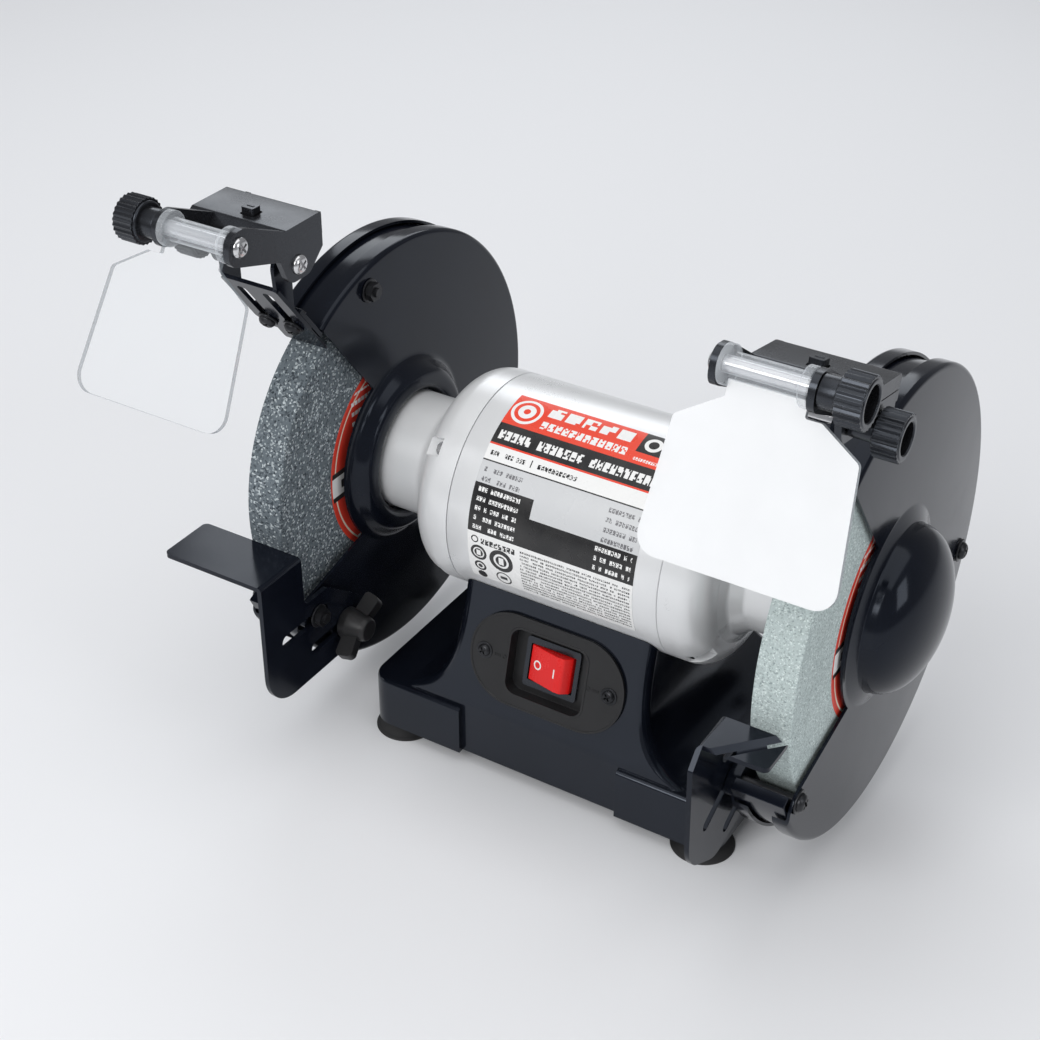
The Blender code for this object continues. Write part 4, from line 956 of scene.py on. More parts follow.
# ---- base --------------------------------------------------------------------------
@dataclass
class Base:
    """Cast base with its pedestal, rubber feet, cover plate and cable gland."""

    half_length: float = 0.1035
    half_depth: float = 0.0675
    bottom: float = 0.0080
    top: float = 0.0370
    wall: float = 0.0025
    edge_rise: float = 0.0025
    edge_inset: float = 0.0022
    corner: float = 0.0120
    recess_half: float = 0.0465
    recess: float = 0.0033
    crease: float = 0.0430
    neck: float = 0.0545
    depth_top: float = 0.0470
    pedestal_top: float = 0.1092
    flare: float = 0.0280
    saddle_radius: float = 0.0570
    opening: Point = (0.0478, 0.0398)
    foot_top_radius: float = 0.0105
    foot_radius: float = 0.0165
    vent_spacing: float = 0.0120
    vent_half: float = 0.0140
    vent_width: float = 0.0034

    def ring(self, half_length: float, half_depth: float, corner: float, height: float) -> list[Vector]:
        """One level of the base, a rounded rectangle."""
        outline = rectangle(2 * half_length, 2 * half_depth, corner, (0.0, SHAFT.y), 8)
        return [Vector((*point, height)) for point in outline]

    def shell(self) -> BMesh:
        """The casting: slab, flared pedestal, recess, saddle and hollow.

        Returns:
            The casting.
        """
        rings = [self.ring(self.half_length, self.half_depth, self.corner, self.bottom)]
        for step in range(5):
            turn = math.pi / 8 * step
            inset = self.edge_inset * (1 - math.cos(turn))
            height = self.top - self.edge_rise + self.edge_rise * math.sin(turn)
            rings.append(self.ring(self.half_length - inset, self.half_depth - inset, self.corner - inset,
                                   height))
        face = self.half_depth - self.recess
        rise = self.pedestal_top - self.top
        for share in (0.0, 0.012, 0.03, 0.055, 0.085, 0.12, 0.16, 0.21, 0.27, 0.34, 0.42, 0.52, 0.64, 0.8,
                      1.0):
            flare = self.flare * math.exp(-4.6 * share) * (1 - share) ** 1.2
            lean = max(0.0, share - 0.05) / 0.95
            depth = face + (self.depth_top - face) * lean
            rings.append(self.ring(self.neck + flare, depth, 0.0060, self.top + rise * share))
        recess = block((2 * self.recess_half, 0.02, self.crease), (0, SHAFT.y - face - 0.01, self.crease / 2))
        saddle = moved(rod(self.saddle_radius, -0.2, 0.2, 160), across(Side.RIGHT))
        wall = self.wall
        outline = rectangle(2 * (self.half_length - wall), 2 * (face - wall), self.corner - wall,
                            (0, SHAFT.y))
        hollow = plate(outline, self.top - wall - 0.002, low=0.002)
        opening = moved(block((*self.opening, 0.04)), Switch().panel())
        return carved(lofted(rings), [recess, saddle, hollow, opening])

    def foot(self, x: float, y: float) -> BMesh:
        """A flared rubber foot with a grooved rim.

        Args:
            x: Its middle.
            y: Its middle.

        Returns:
            The foot.
        """
        top, neck, rim = self.bottom - GAP, self.foot_top_radius, self.foot_radius
        profile = rounded([(0, top, 0), (neck, top, 0.0006), (neck, top - 0.0022, 0.0004),
                           (0.0092, top - 0.0036, 0.0008), (rim - 0.0020, 0.0014, 0.0012),
                           (rim, 0.0008, 0.0003), (rim, 0.0, 0.0002), (0.0118, 0.0, 0.0003),
                           (0.0112, 0.0009, 0.0003), (0.0, 0.0009, 0)], 3, closed=False)
        return moved(turned(profile, 56), shifted(x, y))

    def build(self) -> None:
        """Build and dress the base's pieces."""
        dress("painted_cast_base", self.shell(), CAST_BLACK, "frame", ["base_housing"], 0.0007, angle=28.0)
        for row in ("front", "rear"):
            for side in Side:
                node = f"foot_{row}_{side.tag}"
                spot = middle_of(node)
                dress(f"{row}_{side.tag}_foot", self.foot(spot.x, spot.y), RUBBER, "frame", [node])
        low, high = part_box("base_cover")
        middle = middle_of("base_cover")
        cover = rectangle(high.x - low.x, high.y - low.y, 0.009, middle.xy)
        vents = [slot((row * self.vent_spacing, SHAFT.y - self.vent_half),
                      (row * self.vent_spacing, SHAFT.y + self.vent_half),
                      self.vent_width) for row in range(-2, 3)]
        dress("base_cover_plate", plate(cover, high.z - low.z, vents, low.z), DARK_STEEL, "frame",
              ["base_cover"], 0.0003)
        spot = middle_of("cable_gland")
        gland = rounded([(0.0042, 0.0002, 0), (0.0092, 0.0002, 0.0004), (0.0090, 0.0048, 0.0006),
                         (0.0072, 0.0062, 0.0006), (0.0066, 0.0128, 0.0008), (0.0042, 0.0128, 0.0003)], 4)
        plug = turned([(0, 0.0042), (0.0041, 0.0042), (0.0041, -0.0060), (0, -0.0060)], 28)
        place = shifted(spot.x, SHAFT.y + self.half_depth, spot.z) @ Matrix.Rotation(-math.pi / 2, 4, "X")
        dress("rear_cable_gland", together(turned(gland, 48), plug), SATIN_BLACK, "frame", ["cable_gland"],
              place=place)


@dataclass
class Switch:
    """Sunk switch plate on the sloping front, with its rocker."""

    width: float = 0.0890
    height: float = 0.0504
    thickness: float = 0.0015
    pocket_width: float = 0.0440
    pocket_height: float = 0.0360
    pocket_depth: float = 0.0075
    frame_width: float = 0.0310
    frame_height: float = 0.0276
    frame_rise: float = 0.0015
    rocker_width: float = 0.0246
    rocker_height: float = 0.0195
    axis_depth: float = 0.0040
    body_hole: Point = (0.0290, 0.0252)
    body_size: Point = (0.0284, 0.0246)
    lining: float = 0.0024
    face_rise: float = 0.0046
    face_run: float = 0.0173
    screw_out: float = 0.0362

    def panel(self) -> Matrix:
        """The plate's place: local X to the right, Y up the slope, Z out of it.

        Returns:
            The place.
        """
        axis = Vector(JOINTS["switch_rock"]["axis"])
        lean = math.atan2(axis.y, axis.z)
        outwards = Vector((0, -math.cos(lean), math.sin(lean)))
        seat = self.pocket_depth - self.thickness - self.frame_rise - 2 * GAP + self.axis_depth
        origin = joint_at("switch_rock") + outwards * seat
        return shifted(*origin) @ Matrix.Rotation(math.pi / 2 - lean, 4, "X")

    def pocket_outline(self, grown: float, radius: float) -> list[Vector]:
        """The pocket's outline, grown by a width all round."""
        return rectangle(self.pocket_width + grown, self.pocket_height + grown, radius, steps=8)

    def plate_mesh(self) -> BMesh:
        """The stadium plate with a raised rim and its sunk tray.

        Returns:
            The plate, in its own place.
        """
        front = GAP + self.thickness
        outline = rectangle(self.width, self.height, self.height / 2 - 0.0007, steps=20)
        lip = rectangle(self.width - 0.0022, self.height - 0.0022, self.height / 2 - 0.0018, steps=20)
        rim = plate(outline, 0.0004, [lip], front - 0.0001)
        tray = plate(self.pocket_outline(self.lining + 0.0004, 0.0074), self.pocket_depth + 0.0009,
                     low=front - self.pocket_depth - 0.0014)
        lining = plate(self.pocket_outline(self.lining, 0.0072), 0.0004, low=front - 0.0001)
        pocket = plate(self.pocket_outline(0.0, 0.0060), 0.02, low=front - self.pocket_depth)
        hole = block((*self.body_hole, 0.06))
        return carved(plate(outline, self.thickness, low=GAP), [pocket, hole], [tray, rim, lining])

    def rocker(self) -> BMesh:
        """The rocker's side outline carried across its height, in the plate's place.

        Returns:
            The rocker.
        """
        half, top = self.rocker_width / 2, self.axis_depth
        outline = rounded([(-half, -0.0030, 0), (-half, top, 0.0005), (0.0050, top + self.face_rise, 0.0030),
                           (0.0085, top + 0.0044, 0.0026), (half - 0.0004, top + 0.0006, 0.0012),
                           (half, -0.0030, 0), (0.0060, -0.0080, 0.001), (-0.0060, -0.0080, 0.001)])
        seat = shifted(z=self.seat_depth()) @ Matrix.Rotation(math.pi / 2, 4, "X")
        return moved(plate(outline, self.rocker_height), self.panel() @ seat)

    def seat_depth(self) -> float:
        """The rocker's axis along the plate's local Z."""
        return GAP + self.thickness - self.pocket_depth + GAP + self.frame_rise - self.axis_depth

    def on_rocker(self, x: float) -> Matrix:
        """Place for a mark on the rocker's long face.

        Args:
            x: How far along the plate it sits.

        Returns:
            The place, with local Z out of the face.
        """
        slope = math.atan2(self.face_rise, self.face_run)
        rise = self.axis_depth + (x + self.rocker_width / 2) * math.tan(slope)
        return self.panel() @ shifted(x, 0, self.seat_depth() + rise) @ Matrix.Rotation(-slope, 4, "Y")

    def build(self) -> None:
        """Build and dress the switch's pieces."""
        panel = self.panel()
        dress("switch_plate_moulding", self.plate_mesh(), GRAINED_BLACK, "frame", ["switch_plate"], 0.0003,
              panel, rounds=3)
        front = GAP + self.thickness
        low = front - self.pocket_depth + GAP
        well = rectangle(self.rocker_width + 0.0014, self.rocker_height + 0.0009, 0.0006)
        bezel = plate(rectangle(self.frame_width, self.frame_height, 0.0016), self.frame_rise, [well], low)
        body = plate(rectangle(*self.body_size, 0.0006), 0.0190, [well], low - 0.0189)
        dress("switch_body_moulding", together(bezel, body), SATIN_BLACK, "frame", ["switch_body"], 0.0004,
              panel)
        dress("red_rocker", self.rocker(), RED, "rocker", ["switch_rocker"], 0.0005, rounds=3)
        ring = plate(circle(0.0025), 0.00016, [circle(0.0017)])
        dress("rocker_off_ring", ring, WHITE_INLAY, "rocker", place=self.on_rocker(-0.0074))
        bar = plate(rectangle(0.0008, 0.0050, 0.0002), 0.00016)
        dress("rocker_on_bar", bar, WHITE_INLAY, "rocker", place=self.on_rocker(0.0036))
        for side in Side:
            x = side.value * self.screw_out
            seat = panel @ shifted(x, 0.0, front)
            dress(f"{side.tag}_plate_washer", washer(0.0030, 0.0046, 0.0005, 32, 0.0, 0.0002), DARK_STEEL,
                  "frame", place=seat)
            dress(f"{side.tag}_plate_screw", screw_head(0.0034, 0.0018), DARK_STEEL, "frame",
                  place=seat @ shifted(z=0.0004))
            marks = [plate(rectangle(0.0004, 0.0016, 0.0001, (x - side.value * (0.0062 + 0.0010 * i), 0.0)),
                           0.0003)
                     for i in range(4)]
            spot = (x - side.value * 0.0118, 0.0)
            marks.append(plate(circle(0.0012, spot, 24), 0.0003, [circle(0.0008, spot, 24)]))
            dress(f"{side.tag}_plate_marks", together(*marks), GRAINED_BLACK, "frame",
                  place=panel @ shifted(z=front + 0.0001))


# ---- motor -------------------------------------------------------------------------
@dataclass
class Motor:
    """Silver motor tube with its label and the two end bells."""

    radius: float = 0.0567
    wall: float = 0.0025
    half_length: float = 0.0590
    bell_end: float = 0.1190
    bearing_bore: float = 0.0130
    barrel: float = 0.0090
    shoulder: float = 0.0150
    neck_radius: float = 0.0320
    label_half: float = 0.0462
    label_angles: tuple[float, float] = (-25.0, 84.0)
    label_lift: Point = (0.00004, 0.00020)
    bolt_angles: tuple[float, ...] = (41.0, 139.0, 221.0, 319.0)
    pocket: Point = (0.0140, 0.0096)
    pocket_start: float = 0.0022

    def tube(self) -> BMesh:
        """The rolled tube with soft ends, in turned coordinates.

        Returns:
            The tube.
        """
        half, inside = self.half_length, self.radius - self.wall
        profile = rounded([(inside, -half, 0), (self.radius, -half, 0.0006), (self.radius, half, 0.0006),
                           (inside, half, 0)], 3)
        return turned(profile, 144)

    def bell(self) -> BMesh:
        """An end bell with its bolt pockets, in turned coordinates.

        Returns:
            The bell.
        """
        start = self.half_length + GAP
        radius, step, neck, end = self.radius, self.radius - self.shoulder, self.neck_radius, self.bell_end
        low = start + self.barrel
        bend = low + self.shoulder
        outer = rounded([(radius, start, 0), (radius, bend, self.shoulder), (step, bend, 0.0012),
                         (neck + 0.0040, bend + 0.0022, 0.004), (neck, bend + 0.0095, 0.006),
                         (neck, end, 0)], 12, closed=False)
        inner = [Vector(point) for point in ((self.bearing_bore, end), (self.bearing_bore, end - 0.006),
                                             (radius - 0.018, bend - 0.003), (radius - 0.003, low),
                                             (radius - 0.003, start))]
        floor, top = low + self.pocket_start, bend + 0.0050
        size = (*self.pocket, top - floor)
        pocket_out = radius - 0.0085 + self.pocket[0] / 2
        pockets = [moved(block(size, (pocket_out, 0.0, (top + floor) / 2)),
                         Matrix.Rotation(math.radians(angle), 4, "Z")) for angle in self.bolt_angles]
        return carved(turned(outer + inner, 144), pockets)

    def label(self) -> BMesh:
        """The rating label, a thin sheet bent round the tube.

        Returns:
            The label, with millimetres and degrees round the tube as its UV map.
        """
        low, high = (math.radians(angle) for angle in self.label_angles)
        inner, outer = (self.radius + lift for lift in self.label_lift)
        work = bmesh.new()
        corners = [work.verts.new((x, -math.cos(low) * r + SHAFT.y, math.sin(low) * r + SHAFT.z))
                   for x, r in ((-self.label_half, inner), (self.label_half, inner), (self.label_half, outer),
                                (-self.label_half, outer))]
        face = work.faces.new(corners)
        bmesh.ops.spin(work, geom=[face], cent=SHAFT, axis=(1, 0, 0), dvec=(0, 0, 0), angle=low - high,
                       steps=90, use_merge=False)
        bmesh.ops.recalc_face_normals(work, faces=work.faces[:])
        layer = work.loops.layers.uv.new("print")
        for item in work.faces:
            for loop in item.loops:
                spot = loop.vert.co - SHAFT
                turn = math.atan2(spot.z, -spot.y)
                loop[layer].uv = (spot.x * 1000, math.degrees(turn))
        return work

    def build(self) -> None:
        """Build and dress the motor's pieces."""
        dress("motor_tube", self.tube(), SILVER, "frame", ["motor_housing"], place=across(Side.RIGHT))
        dress("motor_label", self.label(), MOTOR_PRINT, "frame")
        for side in Side:
            dress(f"{side.tag}_end_bell", self.bell(), SILVER, "frame", [f"end_bell_{side.tag}"], 0.0005,
                  across(side), rounds=3)
            for i, angle in enumerate(self.bolt_angles):
                spot = polar(self.radius - 0.0048, math.radians(angle))
                seat = across(side) @ shifted(spot.x, spot.y, self.half_length + self.barrel + 0.0024)
                dress(f"{side.tag}_tie_bolt_{i}", hexagon_head(0.0036, 0.0032), BRIGHT_STEEL, "frame",
                      place=seat)


# ---- wheels ------------------------------------------------------------------------
@dataclass
class Rotor:
    """Wheel, paper labels, flanges and nut of one side."""

    side: Side
    radius: float = 0.1000
    label_radius: float = 0.0576
    label_bore: float = 0.0180
    paper: float = 0.00015
    flange_radius: float = 0.0350
    flange_gap: float = 0.00025
    bore: float = 0.0085

    def build(self) -> None:
        """Build and dress the wheel and its clamping parts."""
        tag = self.side.tag
        low, high = reach_of(f"grinding_wheel_{tag}")
        place = across(self.side)
        stone = COARSE if self.side is Side.LEFT else FINE
        radius, bore = self.radius, self.bore
        wheel = rounded([(bore, low, 0), (radius, low, 0.0008), (radius, high, 0.0008), (bore, high, 0)], 4)
        dress(f"{tag}_grinding_wheel", turned(wheel, 160), stone, "rotor", [f"grinding_wheel_{tag}"],
              place=place)
        for name, level in (("inner", low - self.paper), ("outer", high)):
            hole = circle(self.label_bore, steps=48)
            disc = moved(plate(circle(self.label_radius, steps=96), self.paper, [hole], level), place)
            disc = printed(disc, Vector((0, 1, 0)), Vector((0, 0, 1)), SHAFT)
            dress(f"{tag}_wheel_{name}_label", disc, WHEEL_PRINT, "rotor")
        for name, level, way in (("inner", low - self.flange_gap, -1), ("outer", high + self.flange_gap, 1)):
            rim, end = self.flange_radius, level + way * 0.0034
            flange = rounded([(bore, level, 0), (rim, level, 0.0004), (rim, level + way * 0.0018, 0.0008),
                              (rim - 0.009, end, 0.002), (bore, end, 0)], 4)
            dress(f"{tag}_{name}_clamp_flange", turned(flange, 96), GREY_STEEL, "rotor",
                  [f"{name}_flange_{tag}"],
                  place=place)
        dress(f"{tag}_arbor_nut", hexagon_head(0.0138, 0.0104), GREY_STEEL, "rotor", [f"arbor_nut_{tag}"],
              place=place @ shifted(z=high + 0.0041), angle=20.0)


# ---- guards ------------------------------------------------------------------------
@dataclass
class Guard:
    """Inner guard, band and domed outer cover of one side, with their bolts."""

    side: Side
    sheet: float = 0.0015
    web: float = 0.12005
    face: float = 0.12385
    cover_face: float = 0.15135
    radius: float = 0.1170
    band_inside: float = 0.1128
    rim_depth: float = 0.0078
    bulge: float = 0.0090
    neck_radius: float = 0.0320
    hub_radius: float = 0.0525
    dome_radius: float = 0.0410
    dome_height: float = 0.0270
    dome_lift: float = 0.0052
    cut_top_angle: float = math.radians(127.5)
    cut_top_offset: float = 0.0083
    cut_low_angle: float = math.radians(193.6)
    cut_low_offset: float = 0.0241
    nose_radius: float = 0.0120
    band_low_angle: float = math.radians(205.0)
    bolt_circle: float = 0.1052
    boss_radius: float = 0.0085
    boss_height: float = 0.0043
    lip: float = 0.0045
    flange_out: float = 0.1370
    flange_back: float = -0.0080
    flange_extra: float = 0.0010
    bolt_angles: dict[str, float] = field(default_factory=lambda: {"top": 104.0, "back": -15.0,
                                                                   "nose": 210.0})

    def __post_init__(self) -> None:
        """Work out the directions of the two cuts."""
        self.top_ray = polar(1.0, self.cut_top_angle)
        self.top_front = Vector((-self.top_ray.y, self.top_ray.x))
        self.low_ray = polar(1.0, self.cut_low_angle)
        self.low_front = Vector((self.low_ray.y, -self.low_ray.x))

    def flange_front(self) -> float:
        """The front face of the band's flange, in front of the upper cut's ray."""
        return self.flange_back + self.sheet + self.flange_extra

    def on_cut(self, along: float, front: float) -> Vector:
        """Point beside the upper cut: out along it from the shaft, and in front of it."""
        return self.top_ray * along + self.top_front * front

    def opening(self) -> BMesh:
        """What is cut from both guard plates to open them to the front.

        Returns:
            The cutting block.
        """
        def chord(radius: float, offset: float) -> float:
            """How far out a line at this offset meets a radius."""
            return math.sqrt(radius ** 2 - offset ** 2)

        far = 2 * self.radius
        reach = chord(self.radius - self.nose_radius, self.cut_low_offset + self.nose_radius)
        nose = self.low_ray * reach - self.low_front * (self.cut_low_offset + self.nose_radius)
        start = math.atan2(nose.y, nose.x)
        end = math.atan2(self.low_front.y, self.low_front.x) + (0 if self.low_front.y < 0 else -2 * math.pi)
        top, low = self.cut_top_offset, self.cut_low_offset
        hub_top = self.top_ray * chord(self.hub_radius, top) - self.top_front * top
        hub_low = self.low_ray * chord(self.hub_radius, low) - self.low_front * low
        low_angle = math.atan2(hub_low.y, hub_low.x) + 2 * math.pi
        outline = [self.on_cut(far, -self.cut_top_offset), polar(far, start)]
        outline += arc(nose, self.nose_radius, start, end, 14)
        outline += arc((0, 0), self.hub_radius, low_angle, math.atan2(hub_top.y, hub_top.x), 28)
        middle = self.side.value * (self.face + self.cover_face) / 2
        return moved(plate(outline, 0.120), standing(middle))

    def inner(self) -> BMesh:
        """The inner guard: a dished web, a raised hub ring and a rolled rim.

        Returns:
            The inner guard, in place.
        """
        rim, neck, face = self.radius - self.sheet / 2, self.neck_radius, self.face
        level = face - self.bulge
        line = rounded([(0.0220, self.web, 0), (neck + 0.0012, self.web, 0.0012),
                        (neck + 0.0030, level, 0.0030),
                        (neck + 0.0110, level, 0.0060), (self.hub_radius - 0.0035, face, 0.0070),
                        (rim, face, 0.0018), (rim, face + self.rim_depth, 0)], 7, closed=False)
        height = self.boss_height + self.sheet / 2
        middle = self.side.value * (face - height / 2)
        bosses, holes = [], []
        for spot in (polar(self.bolt_circle, math.radians(self.bolt_angles["nose"])), self.knob_spot()):
            seat = standing(middle, SHAFT.y + spot.x, SHAFT.z + spot.y)
            bosses.append(moved(rod(self.boss_radius, -height / 2, height / 2, 40), seat))
            holes.append(moved(rod(0.0033, -0.012, 0.012, 24), seat))
        work = moved(turned(line, 180, line=True), across(self.side))
        return carved(work, [self.opening(), *holes], bosses, self.sheet)

    def knob_spot(self) -> Vector:
        """The wing knob's axis, from the shaft."""
        spot = joint_at(f"wing_knob_turn_{self.side.tag}") - SHAFT
        return Vector((spot.y, spot.z))

    def cover(self) -> BMesh:
        """The outer cover: a dome, an annular shoulder and a rolled rim.

        Returns:
            The cover, in place.
        """
        rim, level, foot = self.radius - self.sheet / 2, self.cover_face, self.cover_face + self.dome_lift
        rise, steps = self.dome_height - self.dome_lift, 16
        dome = [Vector((self.dome_radius * math.sin(math.pi / 2 * i / steps),
                        foot + rise * math.cos(math.pi / 2 * i / steps))) for i in range(steps)]
        line = dome + rounded([(self.dome_radius, foot, 0), (self.dome_radius + 0.0007, level + 0.0030,
                                                             0.0016),
                               (self.hub_radius - 0.0030, level, 0.0050), (rim, level, 0.0018),
                               (rim, level - self.rim_depth, 0)], closed=False)
        work = moved(turned(line, 180, line=True), across(self.side))
        return carved(work, [self.opening()], wall=self.sheet)

    def band(self) -> BMesh:
        """The band round the wheel, bent out into the bracket's flange.

        Returns:
            The band, in place.
        """
        outside = self.band_inside + self.sheet
        back, front = self.flange_back, self.flange_front()

        def meets(radius: float, offset: float) -> float:
            """Angle at which the flange's face meets a radius."""
            along = math.sqrt(radius ** 2 - offset ** 2)
            return math.atan2(*self.on_cut(along, offset).yx)

        low = self.band_low_angle - 2 * math.pi
        lip = self.sheet / outside
        outline = [self.on_cut(self.flange_out, front), self.on_cut(self.flange_out, back)]
        outline += arc((0, 0), outside, meets(outside, back), low, 120)
        outline += [polar(self.band_inside - self.lip, low), polar(self.band_inside - self.lip, low + lip)]
        outline += arc((0, 0), self.band_inside, low + lip, meets(self.band_inside, front), 120)
        low_corner, high_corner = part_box(f"guard_band_{self.side.tag}")
        return moved(plate(outline, high_corner.x - low_corner.x),
                     standing((low_corner.x + high_corner.x) / 2))

    def bolt(self, name: str) -> BMesh:
        """One cover bolt with its washers and nut, in turned coordinates.

        Args:
            name: "top", "back" or "nose".

        Returns:
            The bolt.
        """
        outside = self.cover_face + self.sheet / 2 + GAP
        start = reach_of(f"cover_bolt_{name}_{self.side.tag}")[0]
        inside = start + 0.0060
        thick = 0.0008
        return together(moved(washer(0.0030, 0.0062, thick, 40), shifted(z=outside)),
                        moved(screw_head(0.0046, 0.0028), shifted(z=outside + thick)),
                        rod(0.0025, start, outside + 0.001, 24),
                        moved(washer(0.0030, 0.0062, thick, 40), shifted(z=inside - thick)),
                        moved(hexagon_head(0.0050, 0.0036), shifted(z=inside - 0.0044)))

    def build(self) -> None:
        """Build and dress the guard's pieces."""
        tag = self.side.tag
        for name, work, node, angle in (("guard_web", self.inner(), "inner_guard", 40.0),
                                        ("domed_cover", self.cover(), "outer_cover", 40.0),
                                        ("wheel_band", self.band(), "guard_band", 30.0)):
            dress(f"{tag}_{name}", work, GLOSS_BLACK, "frame", [f"{node}_{tag}"], 0.0003, angle=angle)
        for name in self.bolt_angles:
            spot = middle_of(f"cover_bolt_{name}_{tag}")
            dress(f"{tag}_{name}_bolt", self.bolt(name), DARK_STEEL, "frame", [f"cover_bolt_{name}_{tag}"],
                  place=across(self.side, spot))


# ---- tool rests --------------------------------------------------------------------
@dataclass
class Rest:
    """Tool rest with its slotted leg, and the wing knob that clamps it."""

    side: Side
    sheet: float = 0.0025
    slot_width: float = 0.0066
    slot_ahead: float = 0.0260
    slot_behind: float = 0.0050
    wheel_radius: float = 0.1000
    wheel_gap: float = 0.0022
    plain_depth: float = 0.0320
    grooved_depth: float = 0.0230
    fold: float = 0.0028
    plain_tilt: float = 0.0
    grooved_tilt: float = math.radians(28.0)
    groove_out: float = 0.0200
    groove_angle: float = math.radians(42.0)
    ridge_length: float = 0.0140
    wing_angle: float = math.radians(36.0)
    wing_sheet: float = 0.0062

    def leg(self, front: float, back: float, table: float, nose: Vector, knob: Vector) -> list[Vector]:
        """Outline of the leg in (Y, Z) from the shaft's Y and the floor.

        Args:
            front: The table's front edge.
            back: Its back edge.
            table: Its top.
            nose: The nose bolt.
            knob: The wing knob.

        Returns:
            The outline's points.
        """
        if self.side is Side.LEFT:
            corners = [(front, table, 0), (front, knob.y - 0.0170, 0.0200),
                       (knob.x + 0.0130, knob.y - 0.0170, 0.009), (knob.x + 0.0130, knob.y + 0.0100, 0.0080),
                       (back + 0.0190, nose.y + 0.0120, 0.0050), (back, nose.y + 0.0120, 0.0040),
                       (back, table, 0)]
        else:
            corners = [(front, table, 0), (front - 0.0085, table - 0.0095, 0.002),
                       (front - 0.0060, knob.y - 0.0080, 0.0200), (nose.x - 0.0110, knob.y - 0.0240, 0.0160),
                       (knob.x + 0.0120, knob.y - 0.0120, 0.0090), (knob.x + 0.0120, knob.y + 0.0120, 0.0080),
                       (back + 0.0190, nose.y + 0.0130, 0.0050), (back, nose.y + 0.0130, 0.0040),
                       (back, table, 0)]
        return rounded(corners, 10)

    def rest(self) -> BMesh:
        """Table and leg as one bent sheet, with the leg's two slots.

        Returns:
            The rest, in place.
        """
        tag, sign = self.side.tag, self.side.value
        plain = self.side is Side.LEFT
        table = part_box(f"tool_rest_{tag}")[1].z
        inner, reach = reach_of(f"tool_rest_{tag}")
        nose, knob = (Vector((spot.y - SHAFT.y, spot.z)) for spot in
                      (middle_of(f"cover_bolt_nose_{tag}"), joint_at(f"wing_knob_turn_{tag}")))
        drop = SHAFT.z - table + self.sheet
        back = -math.sqrt(self.wheel_radius ** 2 - drop ** 2) - self.wheel_gap
        front = back - (self.plain_depth if plain else self.grooved_depth)
        heading = polar(1.0, self.plain_tilt if plain else self.grooved_tilt)
        slots = [slot(spot - heading * self.slot_ahead, spot + heading * self.slot_behind, self.slot_width)
                 for spot in (nose, knob)]
        half, length, middle = self.sheet / 2, reach - inner, SHAFT.y + (front + back) / 2
        leg = moved(plate(self.leg(front, back, table, nose, knob), self.sheet, slots),
                    standing(sign * (inner + half), SHAFT.y, 0.0))
        top = moved(plate(rectangle(length, back - front, 0.0030), self.sheet),
                    shifted(sign * (inner + length / 2), middle, table - half))
        square = block((self.sheet, back - front, self.sheet), (sign * (inner + half), middle, table - half))
        joined, tools = [top, square], []
        if not plain:
            place = (shifted(sign * (inner + half + self.groove_out), middle, table)
                     @ Matrix.Rotation(-self.groove_angle, 4, "Z") @ Matrix.Rotation(math.pi / 2, 4, "X"))
            ridge = rounded([(-0.0085, -0.0005, 0), (0.0085, -0.0005, 0), (0.0, -0.0068, 0.0012)], 5)
            notch = rounded([(-0.0055, 0.0020, 0), (0.0055, 0.0020, 0), (0.0, -0.0040, 0.0006)], 5)
            joined.append(moved(plate(ridge, self.ridge_length), place))
            tools.append(moved(plate(notch, 0.080), place))
        work = carved(leg, tools, joined)
        near = 20 * WELD
        edges = [edge for edge in work.edges
                 if all(abs(vert.co.z - table) < near and abs(abs(vert.co.x) - inner) < near
                        for vert in edge.verts)]
        if edges:
            bmesh.ops.bevel(work, geom=edges, offset=self.fold, offset_type="OFFSET", segments=6, profile=0.5,
                            affect="EDGES", material=-1, clamp_overlap=True)
        return work

    def knob(self) -> tuple[BMesh, BMesh]:
        """The wing knob.

        Returns:
            Its moulding, and the washer and stud behind it.
        """
        tag, sign = self.side.tag, self.side.value
        start, end = reach_of(f"rest_knob_{tag}")
        centre = joint_at(f"wing_knob_turn_{tag}")
        face = start + 0.0150
        place = across(self.side, centre)
        hub = rounded([(0, face, 0), (0.0085, face, 0.0004), (0.0085, face - 0.0040, 0.0015),
                       (0.0068, face - 0.0125, 0.0012), (0.0058, start, 0.0012), (0, start, 0)],
                      4, closed=False)
        wing = rounded([(-0.0190, -0.0042, 0.0022), (0.0, -0.0062, 0.0060), (0.0190, -0.0042, 0.0022),
                        (0.0172, 0.0052, 0.0030), (0.0, 0.0018, 0.0080), (-0.0172, 0.0052, 0.0030)])
        upright = Matrix(((0, -sign, 0), (1, 0, 0), (0, 0, 1))).to_4x4()
        seat = (shifted(sign * (face - 0.0085), centre.y, centre.z)
                @ Matrix.Rotation(self.wing_angle, 4, "X") @ upright)
        body = carved(moved(turned(hub, 48), place), add=[moved(plate(wing, self.wing_sheet), seat)])
        low, high = face - 0.0001, face + 0.0002
        ring = turned([(0.0035, low), (0.0078, low), (0.0078, high), (0.0035, high)], 40)
        return body, moved(together(rod(0.0030, face - 0.002, end, 28), ring), place)

    def build(self) -> None:
        """Build and dress the rest and its knob."""
        tag = self.side.tag
        dress(f"{tag}_tool_table", self.rest(), GLOSS_BLACK, f"rest_{tag}", [f"tool_rest_{tag}"], 0.0004,
              rounds=3)
        body, stud = self.knob()
        dress(f"{tag}_wing_knob", body, GRAINED_BLACK, f"wing_knob_{tag}", [f"rest_knob_{tag}"], 0.0008,
              rounds=3)
        dress(f"{tag}_wing_knob_stud", stud, GREY_STEEL, f"wing_knob_{tag}")


